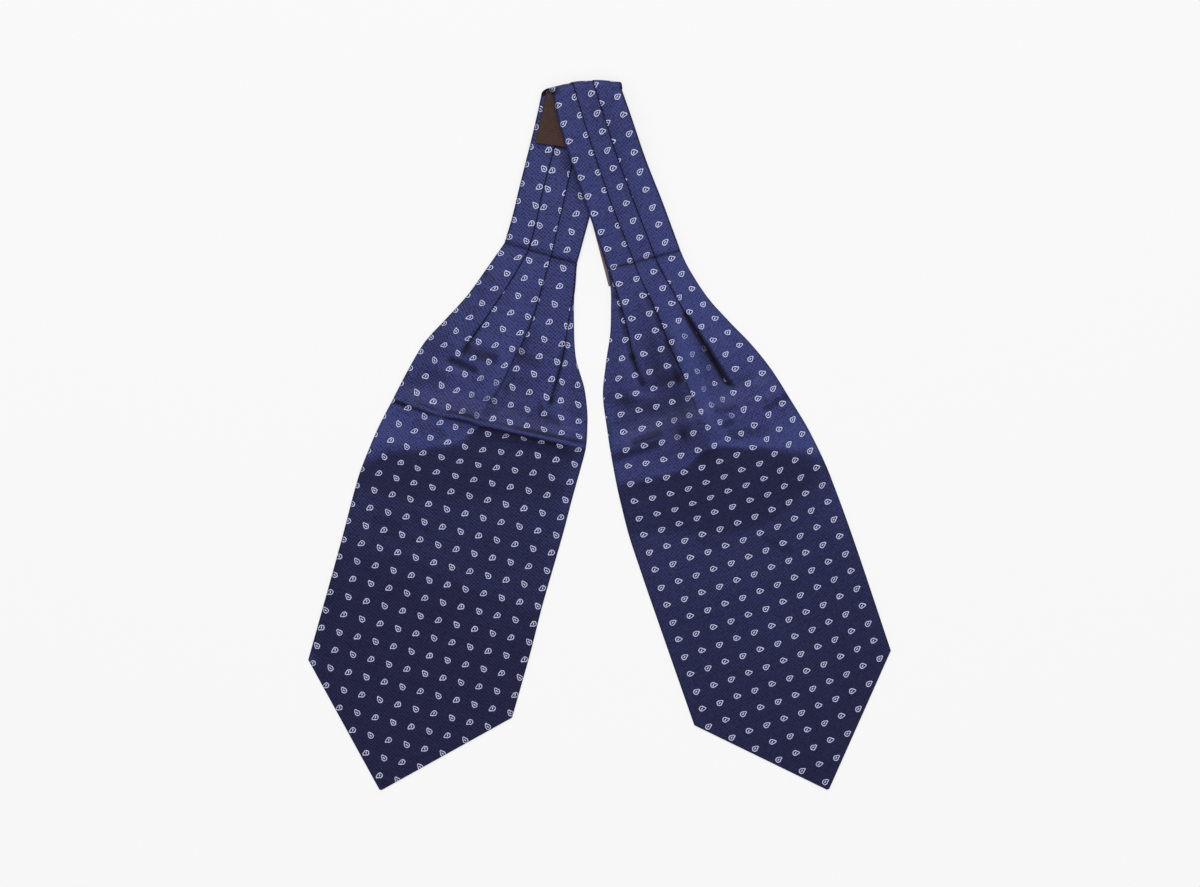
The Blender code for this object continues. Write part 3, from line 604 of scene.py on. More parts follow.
def seam_shift(leg, along, across):
    """How far the cloth lies further along the leg there, because its seam is sewn at a slant."""
    return leg.seam_tilt * across * bell(along, SEAM_TILT_REACH)


def leg_point(leg, along, across, height=0.0):
    """A point of a leg in millimetres, from its distances along and across the leg."""
    along += seam_shift(leg, along, across)
    x = leg.seam_x + leg.side * (along * math.sin(leg.lean) + across * math.cos(leg.lean))
    y = leg.seam_y - along * math.cos(leg.lean) + across * math.sin(leg.lean)
    return Vector((x, y, height))


def leg_lift(leg, along, inward):
    """How high a leg's underside lies: inward runs from 0 at its outer to 1 at its inner edge."""
    outer, inner = edges(leg.lift, along)
    return outer + (inner - outer) * min(max(inward, 0.0), 1.0)


# ---------------------------------------------------------------- the weave on the cloth

class Weave:
    """Where the warp and weft lie across a leg, at one distance along it."""

    def __init__(self, leg, along):
        outer, inner = edges(leg.band if along < 0.0 else leg.blade, along)
        self.noses = [measure(leg.pleats, name, along) for name in PleatEnds._fields]
        marks = [outer, *self.noses, -inner]
        self.ends = list(zip(marks, marks[1:]))
        warp = [measure(leg.warps, name, along) for name in Warp._fields[1:]]
        self.warp = [tuple(warp[2 * panel:2 * panel + 2]) for panel in range(4)]
        weft = [measure(leg.wefts, name, along) for name in Weft._fields[1:]]
        slips = [measure(leg.slips, name, along) for name in Slip._fields[1:]]
        self.weft = list(zip(weft, weft[1:]))
        self.weft[1] = [lay + slip for lay, slip in zip(self.weft[1], slips)]
        self.along = along

    def panel_at(self, across):
        """The panel of the cloth that lies on top there."""
        return sum(across <= nose for nose in self.noses)

    def place(self, across, panel):
        """The cloth's own coordinates of a place, in millimetres of warp and weft."""
        start, end = self.ends[panel]
        run = end - start
        part = (across - start) / run if abs(run) > LEAST_RUN else 0.0
        part = min(max(part, PANEL_RANGE[0]), PANEL_RANGE[1])
        warp, weft = (
            first + (last - first) * part for first, last in (self.warp[panel], self.weft[panel])
        )
        return warp, self.along - weft


def in_repeats(warp, weft):
    """The cloth's own coordinates, counted in repeats of the woven drops."""
    return warp / settings().repeat, weft / settings().repeat_along


# ---------------------------------------------------------------- relief of the cloth, and its painted light and shade

def crease_rise(leg, along, across, outer, inner):
    """How far the crease lifts a blade there. It sinks away at the blade's two edges."""
    crease = leg.crease
    offset = along - crease.along - crease.slant * across
    reach = crease.below if offset > 0.0 else crease.above
    held = smooth(min(outer - across, across + inner), 0.0, CREASE_EDGE)
    return crease.height * held * (1.0 - smooth(abs(offset), 0.0, reach))


def past_crest(leg, along, across):
    """How far past the crease's crest a place lies, or None where there is none near."""
    if not leg.crests or abs(along - leg.crease.along) > CREST_RANGE:
        return None
    return along - measure(leg.crests, "along", across, by="across")


def fold_rise(leg, along, across):
    """The small folds' height there."""
    past = past_crest(leg, along, across)
    rise = 0.0
    if past is not None:
        share = measure(leg.crests, "light", across, by="across") / CREST_LIGHT
        rise = CREST_RISE * share * bell(past, CREST_WIDTH)
    for fold in leg.folds:
        run_along = fold.to_along - fold.along
        run_across = fold.to_across - fold.across
        length = math.hypot(run_along, run_across)
        ahead = ((along - fold.along) * run_along + (across - fold.across) * run_across) / length
        aside = ((along - fold.along) * run_across - (across - fold.across) * run_along) / length
        if abs(aside) > RIDGE_SPAN * fold.width or not -fold.width <= ahead <= length + fold.width:
            continue
        ends = smooth(ahead, -fold.width, RIDGE_EASE * length) * (
            1.0 - smooth(ahead, (1.0 - RIDGE_EASE) * length, length + fold.width)
        )
        rise += fold.height * ends * bell(aside, fold.width)
    return rise


def streak_depth(streak, along, across):
    """How much of a streak falls there, from 0 to 1."""
    run_along = streak.to_along - streak.along
    run_across = streak.to_across - streak.across
    ahead = (along - streak.along) * run_along + (across - streak.across) * run_across
    part = min(max(ahead / (run_along ** 2 + run_across ** 2), 0.0), 1.0)
    away = math.hypot(
        along - streak.along - part * run_along, across - streak.across - part * run_across
    )
    return 1.0 - smooth(away, STREAK_CORE * streak.width, STREAK_RIM * streak.width)


def sheen(leg, along, across):
    """How light the cloth is painted there, from 0 where it turns from the light to 1."""
    light = LIT
    for shade in leg.shades:
        border = measure(shade.borders, "along", across, by="across")
        spread = measure(shade.borders, "spread", across, by="across")
        light += shade.change * smooth(along, border - 0.5 * spread, border + 0.5 * spread)
    for streak in leg.streaks:
        reach = STREAK_RIM * streak.width
        low, high = sorted((streak.along, streak.to_along))
        if low - reach < along < high + reach:
            light += streak.change * streak_depth(streak, along, across)
    for patch in leg.patches:
        ahead = (along - patch.along) / patch.reach_along
        aside = (across - patch.across) / patch.reach_across
        if abs(ahead) < PATCH_SPAN and abs(aside) < PATCH_SPAN:
            light += patch.change * math.exp(-ahead * ahead - aside * aside)
    past = past_crest(leg, along, across)
    if past is not None:
        for column, (off, reach), sign in (
            ("light", (0.0, CREST_REACH), 1.0),
            ("above", (-ABOVE_CREST[0], ABOVE_CREST[1]), -1.0),
            ("below", BELOW_CREST, -1.0),
        ):
            change = measure(leg.crests, column, across, by="across")
            light += sign * change * bell(past - off, reach)
    return min(max(light, 0.0), 1.0)


def glare_shade_fading(leg, along, across):
    """How far the woven drops dim there under painted glare or shade, from 0 to 1."""
    return max(fade.change * streak_depth(fade, along, across) for fade in leg.fades)


# ---------------------------------------------------------------- pleats

def pleat_edge():
    """A pleat's edge as (reach past the edge, drop, how deep its painted shade is).

    It runs round the nose, in under it and out again.
    """
    edge = []
    for index in range(NOSE_POINTS):
        turn = math.pi * (0.5 - index / (NOSE_POINTS - 1))
        reach = PLEAT_ROUND * (math.cos(turn) - 1.0)
        drop = 0.5 * PLY * (math.sin(turn) - 1.0)
        edge.append((reach, drop, smooth(index, *NOSE_SHADE)))
    edge += [
        (-0.5 * PLEAT_UNDERCUT, -PLY, 1.0),
        (-PLEAT_UNDERCUT, -PLY, 1.0),
        (-PLEAT_UNDERCUT, -PLEAT_STEP, 1.0),
        (-0.5 * PLEAT_UNDERCUT, -PLEAT_STEP, 1.0),
    ]
    edge += [(reach, -PLEAT_STEP, crevice) for reach, crevice in PLEAT_FOOT]
    return edge


PLEAT_EDGE = pleat_edge()
UPPER_POINTS = NOSE_POINTS + 2      # these lie on the folded panel, the rest on the one below


def pleat_points(edge, top, amount, facing, opening=0.0, crisp=1.0):
    """The surface over one pleat, from the folded panel down to the panel under it.

    edge is where the fold reaches, and facing (+1 or -1) the way it faces. With amount 1 the gap
    under the edge is fully undercut; with amount 0 the same points lie flat, evenly spread.
    opening lifts the folded panel off the one under it, and crisp is how dark its painted shade
    line looks.
    """
    last = len(PLEAT_EDGE) - 1
    points = []
    for index, (reach, drop, crevice) in enumerate(PLEAT_EDGE):
        flat = (index / last - 0.5) * PLEAT_SPREAD
        lifted = opening if index < NOSE_POINTS + 1 else 0.0
        points.append((
            edge + facing * (flat + (reach - flat) * amount),
            top + drop * amount + lifted,
            crevice * crisp * min(CREVICE_SHADE_GAIN * amount, 1.0),
        ))
    return points


def panel_points(start, end, count, ease):
    """Points between two pleats, where a panel climbs onto the next pleat's folded stack."""
    points = []
    for index in range(count):
        share = (index + 1.0) / (count + 1.0)
        climb = smooth(share, 0.0, ease)
        across = start[0] + (end[0] - start[0]) * share
        points.append((across, start[1] + (end[1] - start[1]) * climb, 0.0))
    return points


def pleated_line(first, last, pleats, counts, ease):
    """A surface's section over its pleats, as (across, height, painted shade) and each point's
    panel.
    """
    line = [first]
    panels = [0]
    for panel, pleat in enumerate(pleats):
        points = panel_points(line[-1], pleat[0], counts[panel], ease)
        line += points + pleat
        panels += [panel] * (len(points) + UPPER_POINTS)
        panels += [panel + 1] * (len(pleat) - UPPER_POINTS)
    points = panel_points(line[-1], last, counts[len(pleats)], ease)
    line += points + [last]
    panels += [len(pleats)] * (len(points) + 1)
    return line, panels


def rim(edge, height, inset, facing):
    """Points round a cloth's rounded rim, from its top to its underside."""
    points = []
    for degrees in RIM_TURNS:
        turn = math.radians(degrees)
        points.append((
            edge + facing * inset * (math.cos(turn) - 1.0),
            0.5 * height * (1.0 + math.sin(turn)),
            RIM_SHADE,
        ))
    return points


# ---------------------------------------------------------------- meshes

# One point of a ring: its place, the cloth's coordinates on the face and on the back, its painted
# sheen, its painted shade in a pleat's gap, a seam or along a sewn edge, and how far the woven
# drops dim under painted glare or shade there.
Stitch = namedtuple("Stitch", "place face back light crevice fade", defaults=(0.0,))


def loft(name, rings, backs=(), turned_rows=0):
    """A closed shell through rings of Stitches. backs holds the points whose quads are back.

    The quads of the first turned_rows rings take the piece's second material.
    """
    mesh = bpy.data.meshes.new(name)
    piece = bpy.data.objects.new(name, mesh)
    bpy.context.scene.collection.objects.link(piece)
    bm = bmesh.new()
    weave = bm.loops.layers.uv.new("weave")
    light = bm.verts.layers.float.new("light")
    crevice = bm.verts.layers.float.new("crevice")
    fade = bm.verts.layers.float.new("fade")
    loops = []
    for ring in rings:
        loop = []
        for stitch in ring:
            vertex = bm.verts.new(stitch.place * MM)
            vertex[light] = stitch.light
            vertex[crevice] = stitch.crevice
            vertex[fade] = stitch.fade
            loop.append(vertex)
        loops.append(loop)
    count = len(rings[0])
    for row in range(len(rings) - 1):
        for index in range(count):
            after = (index + 1) % count
            corners = ((row, index), (row, after), (row + 1, after), (row + 1, index))
            face = bm.faces.new([loops[r][i] for r, i in corners])
            face.material_index = 1 if row < turned_rows else 0
            for corner, (r, i) in zip(face.loops, corners):
                stitch = rings[r][i]
                corner[weave].uv = stitch.back if index in backs else stitch.face
    ends = []
    for row in (0, len(rings) - 1):
        cap = bm.faces.new(loops[row])
        for corner, stitch in zip(cap.loops, rings[row]):
            corner[weave].uv = stitch.face
        ends.append(cap)
    bmesh.ops.triangulate(bm, faces=ends, ngon_method="EAR_CLIP")
    bmesh.ops.recalc_face_normals(bm, faces=bm.faces)
    bm.to_mesh(mesh)
    bm.free()
    mesh.shade_smooth()
    mesh.set_sharp_from_angle(angle=SHARP_EDGE)
    return piece


# ---------------------------------------------------------------- blades

def blade_half_width(leg, column, along):
    """Half width of a blade towards one edge, narrowing along the slanting edge to the tip."""
    corner = getattr(leg.point, column + "_corner")
    full = measure(leg.blade, column, corner)
    slant = (full - TIP_HALF_WIDTH) / (leg.point.tip - corner)
    return min(measure(leg.blade, column, along), TIP_HALF_WIDTH + (leg.point.tip - along) * slant)


def opening_height(leg, name, along):
    """How far the named pleat stands open there."""
    rise = 0.0
    for opening in leg.openings:
        if opening.pleat == name:
            rise += opening.height * (1.0 - smooth(abs(along - opening.along), 0.0, opening.reach))
    return rise


def blade_pleats(leg, along, noses):
    """The points over each pleat of a blade, and how far the pleats are still folded."""
    pleats = []
    folded = 0.0
    for name, nose in zip(PleatEnds._fields, noses):
        end = getattr(leg.pleat_ends, name)
        amount = 1.0 - smooth(along, end - PLEAT_FADE, end)
        folded = max(folded, amount)
        stacked = 1.0 - smooth(along, STACK_START * end, end + PLEAT_FADE)
        top = BLADE_WALL + (BAND_WALL - BLADE_WALL) * stacked
        opening = opening_height(leg, name, along) * amount
        crisp_end = getattr(leg.crisp_ends, name)
        crisp = 1.0 - SOFTENED * smooth(along, crisp_end, crisp_end + SOFTENING)
        pleats.append(pleat_points(nose, top, amount, -1.0, opening, crisp))
    return pleats, folded


def blade_section(leg, along, outer, inner, weave):
    """A blade's section as (across, height, painted shade, panel), and where its underside begins.
    """
    thickening = 1.0 - smooth(along, 0.0, SIDE_SLOPE_END)
    edge_height = BLADE_WALL + (BAND_WALL - PLEAT_STEP - BLADE_WALL) * thickening
    inset = min(EDGE_INSET, NARROW_INSET * (outer + inner))
    first = (outer - inset, edge_height, RIM_FACE * RIM_SHADE)
    last = (inset - inner, edge_height, RIM_FACE * RIM_SHADE)
    pleats, folded = blade_pleats(leg, along, weave.noses)
    line, panels = pleated_line(first, last, pleats, PANEL_POINTS, PANEL_EASE)

    evenness = smooth(along, EVEN_START, EVEN_END)
    section = []
    for index, ((across, height, crevice), panel) in enumerate(zip(line, panels)):
        part = index / (len(line) - 1)
        even = first[0] + (last[0] - first[0]) * part
        across += (even - across) * evenness
        from_edge = smooth(min(outer - across, across + inner), 0.0, RIDGE_EDGE)
        rise = crease_rise(leg, along, across, outer, inner)
        rise += fold_rise(leg, along, across) * from_edge
        height = max(height + rise, min(height, LEAST_WALL))
        if folded <= 0.0:
            panel = weave.panel_at(across)
        section.append((across, height, crevice, panel))
    side = weave.panel_at(last[0])
    section += [(*point, side) for point in rim(-inner, edge_height, inset, -1.0)]
    top_count = len(section)
    for index in range(UNDER_POINTS):
        part = index / (UNDER_POINTS - 1.0)
        across = (outer - inset) * part - (inner - inset) * (1.0 - part)
        height = CREASE_HOLLOW * crease_rise(leg, along, across, outer, inner)
        section.append((across, height, 0.0, weave.panel_at(across)))
    section += [(*point, 0) for point in reversed(rim(outer, edge_height, inset, 1.0))]
    return section, top_count


def blade_ring(leg, along):
    """One closed ring of a blade, square to its axis, and which of its points are back."""
    outer = blade_half_width(leg, "outer", along)
    inner = blade_half_width(leg, "inner", along)
    weave = Weave(leg, along)
    section, top_count = blade_section(leg, along, outer, inner, weave)
    # Painted shade along the seam between band and blade.
    seam = SEAM_SHADE * bell(along, SEAM_LINE)
    ring = []
    for across, height, crevice, panel in section:
        lift = leg_lift(leg, along, (outer - across) / (outer + inner))
        warp, weft = weave.place(across, panel)
        weft += seam_shift(leg, along, across)
        ring.append(Stitch(
            leg_point(leg, along, across, height + lift),
            in_repeats(warp, weft),
            in_repeats(across, along),
            sheen(leg, along, across),
            max(crevice, seam),
            glare_shade_fading(leg, along, across),
        ))
    return ring, set(range(top_count, top_count + UNDER_POINTS - 1))


def blade_stations(leg):
    """Distances along a blade where its rings stand."""
    stations = {FIRST_RING, *leg.point}
    for first, step, count in RING_RUNS:
        stations.update(first + step * index for index in range(count))
    return sorted(place for place in stations if place <= leg.point.tip)


def build_blade(name, leg):
    """A pointed blade, from its seam to its tip."""
    rings = []
    backs = set()
    for along in blade_stations(leg):
        ring, backs = blade_ring(leg, along)
        rings.append(ring)
    return loft(name, rings, backs)


# ---------------------------------------------------------------- neckband

def band_ends(leg, part):
    """The band's -X and +X edges in plan, part of the way from the leg's seam to the fold."""
    outer_along = fold_along(leg) * part
    inner_along = outer_along - leg.inner_extra * part ** EXTRA_POWER
    outer, inner = edges(leg.band, outer_along)
    outer_end = leg_point(leg, outer_along, outer)
    inner_end = leg_point(leg, inner_along, -inner)
    return (outer_end, inner_end) if leg is LEFT else (inner_end, outer_end)


def fold_ends(part):
    """Ends of the fold's axis in plan, part of the way round from the left to the right leg."""
    turned = smooth(part, 0.0, 1.0)
    pairs = zip(band_ends(LEFT, 1.0), band_ends(RIGHT, 1.0))
    return [left.lerp(right, turned) for left, right in pairs]


def fold_direction():
    """Direction in plan from the legs out over the fold."""
    start, end = fold_ends(0.5)
    run = (end - start).normalized()
    return Vector((-run.y, run.x, 0.0))


def leg_place(leg, part, share, depth):
    """A point of the band on a leg, share across from -X and depth in from the outer face."""
    start, end = band_ends(leg, part)
    bow = FOLD_BOW * part ** BOW_POWER * math.sin(math.pi * share)
    place = start.lerp(end, share) + fold_direction() * bow
    if leg is LEFT:
        place.z = depth
    else:
        place.z = leg_lift(leg, fold_along(leg) * part, 1.0 - share) + BAND_WALL - depth
    return place


def fold_place(part, share, depth):
    """A point of the band in the roll at the neck, part of the way round it."""
    start, end = fold_ends(part)
    turn = math.pi * part
    reach = FOLD_AXIS_HEIGHT - depth
    out = FOLD_BOW * math.sin(math.pi * share) + reach * math.sin(turn)
    place = start.lerp(end, share) + fold_direction() * out
    place.z = FOLD_AXIS_HEIGHT - reach * math.cos(turn)
    return place


def pleat_places(leg, along, width):
    """Distances from the band's -X edge to the two pleats that show on a leg of the band."""
    outer, inner = edges(leg.band, along)
    places = []
    for name in ("outer", "middle"):
        across = measure(leg.pleats, name, along)
        from_edge = outer - across if leg is LEFT else across + inner
        places.append(from_edge / (outer + inner) * width)
    return places


def band_edge(low, high):
    """Points round the band's -X edge, with the slot between its faces, as (place, depth)."""
    middle = BAND_WALL * 0.5
    slot = SEAM_GAP * 0.5
    bulge = middle * EDGE_BULGE
    return [
        (SHOULDER_EASE, low + SHOULDER_EASE), (0.0, middle - bulge), (EDGE_NOSE, middle - slot),
        (EDGE_SLOT, middle - slot), (EDGE_SLOT, middle + slot), (EDGE_NOSE, middle + slot),
        (0.0, middle + bulge), (SHOULDER_EASE, high - SHOULDER_EASE),
    ]


def band_section(width, left_along, left_amount, right_along, right_amount):
    """The band's section as (distance from the -X edge, depth, painted shade, face, panel).

    The left leg shows its pleats on the inner face, the right leg on the outer face, so each
    face has its own pleats and they open out, amount 0, where they would lie underneath.
    """
    outer_pleats = []
    for edge in pleat_places(RIGHT, right_along, width):
        points = pleat_points(edge, 0.0, right_amount, facing=-1.0)
        outer_pleats.append([(place, -height, crevice) for place, height, crevice in points])
    inner_pleats = []
    for edge in pleat_places(LEFT, left_along, width):
        inner_pleats.append(pleat_points(edge, BAND_WALL, left_amount, facing=1.0))

    near = SHOULDER_INSET
    far = width - SHOULDER_INSET
    low = SHOULDER_DROP
    high = BAND_WALL - SHOULDER_DROP
    outer_face, outer_panels = pleated_line(
        (far, low, RIM_SHADE), (near, low, RIM_SHADE), outer_pleats,
        BAND_PANEL_POINTS, BAND_PANEL_EASE,
    )
    inner_face, inner_panels = pleated_line(
        (near, high, RIM_SHADE), (far, high, RIM_SHADE), inner_pleats,
        BAND_PANEL_POINTS, BAND_PANEL_EASE,
    )
    near_edge = band_edge(low, high)
    far_edge = [(width - place, BAND_WALL - depth) for place, depth in near_edge]
    half = len(near_edge) // 2
    section = [(*point, "outer", panel) for point, panel in zip(outer_face, outer_panels)]
    section += [(*point, RIM_SHADE, "outer", 2) for point in near_edge[:half]]
    section += [(*point, RIM_SHADE, "inner", 0) for point in near_edge[half:]]
    section += [(*point, "inner", panel) for point, panel in zip(inner_face, inner_panels)]
    section += [(*point, RIM_SHADE, "inner", 2) for point in far_edge[:half]]
    section += [(*point, RIM_SHADE, "outer", 0) for point in far_edge[half:]]
    return section


def band_across(leg, share, outer, inner):
    """Distance across a leg at a share of the band's width from its -X edge."""
    width = outer + inner
    return outer - share * width if leg is LEFT else share * width - inner


class BandWeave:
    """The weave on both faces of the band, at one ring of it."""

    def __init__(self, left_along, right_along):
        self.weaves = {}
        for leg, face, along in ((LEFT, "inner", left_along), (RIGHT, "outer", right_along)):
            self.weaves[face] = (leg, *edges(leg.band, along), Weave(leg, along))

    def place(self, share, face, panel, along):
        """The cloth's coordinates on a face, at a share of the width from the -X edge."""
        leg, outer, inner, weave = self.weaves[face]
        across = band_across(leg, share, outer, inner)
        warp, weft = weave.place(across, panel)
        weft += along - weave.along + seam_shift(leg, along, across)
        return in_repeats(warp, weft)


def band_stitches(section, weave, width, placing, alongs, light, seam=0.0):
    """One ring of the band from its section."""
    ring = []
    for place, depth, crevice, face, panel in section:
        share = place / width
        coordinates = weave.place(share, face, panel, alongs[face](share))
        # Each point carries the painted sheen and the painted shade of gaps, edges and the seam.
        ring.append(Stitch(
            placing(share, depth), coordinates, coordinates, light(share), max(crevice, seam)
        ))
    return ring


def share_along(leg, part):
    """How far along its leg the band lies, by the share of its width from the -X edge."""
    outer_along = fold_along(leg) * part
    extra = leg.inner_extra * part ** EXTRA_POWER
    if leg is LEFT:
        return lambda share: outer_along - extra * share
    return lambda share: outer_along - extra * (1.0 - share)


def leg_ring(leg, part):
    """One ring of the band on a leg, part of the way from its seam to the fold."""
    start, end = band_ends(leg, part)
    width = (end - start).length
    along = fold_along(leg) * part
    own = share_along(leg, part)
    if leg is LEFT:
        shown = 1.0 - smooth(part, *PLEATS_CLOSE)
        section = band_section(width, along, shown, fold_along(RIGHT), 0.0)
        weave = BandWeave(along, fold_along(RIGHT))
        past = share_along(RIGHT, 1.0)
        beyond = fold_along(LEFT) * (1.0 - part) - math.pi * FOLD_AXIS_HEIGHT
        alongs = {"inner": own, "outer": lambda share: past(share) + beyond}
    else:
        section = band_section(width, fold_along(LEFT), 0.0, along, 1.0)
        weave = BandWeave(fold_along(LEFT), along)
        past = share_along(LEFT, 1.0)
        beyond = fold_along(RIGHT) * (1.0 - part) - math.pi * 0.5 * FOLD_GAP
        alongs = {"outer": own, "inner": lambda share: past(share) + beyond}

    def placing(share, depth):
        place = leg_place(leg, part, share, depth)
        top = depth > BAND_WALL * 0.5 if leg is LEFT else depth < BAND_WALL * 0.5
        if top:
            place.z -= SEAM_SINK[leg.side] * bell(along, SEAM_REACH)
        return place

    outer, inner = edges(leg.band, along)

    def light(share):
        return sheen(leg, own(share), band_across(leg, share, outer, inner))

    # Painted shade along the seam between band and blade.
    seam = SEAM_SHADE * bell(along, SEAM_LINE)
    return band_stitches(section, weave, width, placing, alongs, light, seam)


def fold_ring(part):
    """One ring of the roll at the neck."""
    start, end = fold_ends(part)
    width = (end - start).length
    pressed = FOLD_PRESSED * bell(part - 0.5, FOLD_PRESS_REACH)
    shown = smooth(part, 0.0, FOLD_PLEATS_OPEN) * (1.0 - pressed)
    section = band_section(width, fold_along(LEFT), 0.0, fold_along(RIGHT), shown)
    weave = BandWeave(fold_along(LEFT), fold_along(RIGHT))
    past_right = share_along(RIGHT, 1.0)
    past_left = share_along(LEFT, 1.0)
    outer_run = math.pi * FOLD_AXIS_HEIGHT * (1.0 - part)
    inner_run = math.pi * 0.5 * FOLD_GAP * part
    alongs = {
        "outer": lambda share: past_right(share) - outer_run,
        "inner": lambda share: past_left(share) - inner_run,
    }

    def light(share):
        corner = FOLD_CORNER_SHADE * (1.0 - smooth(share, *FOLD_CORNER))
        return LIT - FOLD_SHADE * (1.0 - part) - corner

    return band_stitches(
        section, weave, width, lambda share, depth: fold_place(part, share, depth), alongs, light
    )


def build_neckband():
    """The band, from the left seam over the fold at the neck to the right seam."""
    first = FIRST_RING / -fold_along(LEFT)
    parts = [
        first + (1.0 - first) * (step / BAND_STEPS) ** BAND_CROWDING for step in range(BAND_STEPS)
    ]
    rings = [leg_ring(LEFT, part) for part in parts]
    rings += [fold_ring(step / FOLD_STEPS) for step in range(FOLD_STEPS + 1)]
    rings += [leg_ring(RIGHT, part) for part in reversed(parts)]
    return loft("neckband_silk", rings, turned_rows=BAND_STEPS)


# ---------------------------------------------------------------- labels

def label_section(width):
    """The neck label's section as (share of the band's width, depth from its outer face)."""
    margin = LABEL_MARGIN / width
    low = BAND_WALL + SEAM_GAP
    high = low + LABEL_WALL
    run = 1.0 - 2.0 * margin
    shares = [margin + run * step / LABEL_ACROSS for step in range(LABEL_ACROSS + 1)]
    inset = LABEL_ROUND / width
    drop = LABEL_ROUND * LABEL_WALL
    near, *inside, far = shares
    section = [(share, low) for share in inside]
    section += [(far - inset, low), (far, low + drop), (far, high - drop), (far - inset, high)]
    section += [(share, high) for share in reversed(inside)]
    section += [(near + inset, high), (near, high - drop), (near, low + drop), (near + inset, low)]
    return section


def build_neck_label():
    """The plain label on the band's inner face, lying round the inside of the fold."""
    parts = [LABEL_START + (1.0 - LABEL_START) * step / LABEL_STEPS for step in range(LABEL_STEPS)]
    turns = [step / FOLD_STEPS for step in range(FOLD_STEPS + 1)]
    left_length = -fold_along(LEFT)
    right_length = -fold_along(RIGHT)
    inner_radius = FOLD_GAP * 0.5
    fold_run = math.pi * inner_radius
    stations = [
        (leg_place, (LEFT, part), band_ends(LEFT, part), left_length * (part - 1.0))
        for part in parts
    ]
    stations += [(fold_place, (turn,), fold_ends(turn), fold_run * turn) for turn in turns]
    stations += [
        (leg_place, (RIGHT, part), band_ends(RIGHT, part), fold_run + right_length * (1.0 - part))
        for part in reversed(parts)
    ]
    rings = []
    for place, where, (start, end), along in stations:
        width = (end - start).length
        ring = []
        for share, depth in label_section(width):
            coordinates = (share * width * MM, along * MM)
            ring.append(Stitch(place(*where, share, depth), coordinates, coordinates, 1.0, 0.0))
        rings.append(ring)
    return loft("neck_label_satin", rings)


def build_care_label():
    """The small label that lies under the right leg and shows along its inner edge."""
    length = CARE_LABEL_LENGTH * MM
    width = CARE_LABEL_WIDTH * MM
    across = CARE_LABEL_WIDTH * 0.5 - CARE_LABEL_EDGE
    middle = leg_point(RIGHT, CARE_LABEL_ALONG, across, LABEL_WALL * 0.5) * MM
    turn = RIGHT.lean - CARE_LABEL_TURN
    bpy.ops.object.select_all(action="DESELECT")
    bpy.ops.mesh.primitive_cube_add(size=1.0)
    label = bpy.context.object
    label.name = "care_label_tape"
    label.scale = (width, length, LABEL_WALL * MM)
    bpy.ops.object.transform_apply(location=False, rotation=False, scale=True)
    bpy.ops.object.mode_set(mode="EDIT")
    bpy.ops.mesh.select_all(action="SELECT")
    bpy.ops.mesh.subdivide(number_cuts=CARE_LABEL_CUTS)
    bpy.ops.object.mode_set(mode="OBJECT")
    for vertex in label.data.vertices:
        x, y, z = vertex.co
        wave = 0.0
        if z > 0.0:
            wave = CARE_LABEL_WAVE * MM * math.sin(y / length * CARE_LABEL_WAVES)
        pinch = max(abs(x) / width, abs(y) / length) * 2.0
        flat = z * (1.0 - CARE_LABEL_THIN * smooth(pinch, CARE_LABEL_RIM, 1.0))
        vertex.co = Vector((x, y, min(flat + wave, LABEL_WALL * 0.5 * MM)))
    weave = label.data.uv_layers.new(name="weave")
    for loop in label.data.loops:
        spot = label.data.vertices[loop.vertex_index].co
        weave.data[loop.index].uv = (spot.x, spot.y)
    label.location = middle
    label.rotation_euler = (0.0, 0.0, turn)
    bpy.ops.object.transform_apply(location=True, rotation=True, scale=False)
    for layer in list(label.data.uv_layers):
        if layer.name != "weave":
            label.data.uv_layers.remove(layer)
    label.data.shade_smooth()
    label.data.set_sharp_from_angle(angle=CARE_LABEL_SHARP)
    return label


# ---------------------------------------------------------------- materials

MIX_INPUTS = (0, 6, 7)    # of the Mix node: factor and two colours
MIX_RESULT = 2
BUMP_STRENGTH = 0.6


def opaque(tone):
    """A colour that lets nothing through."""
    return (*tone, 1.0)


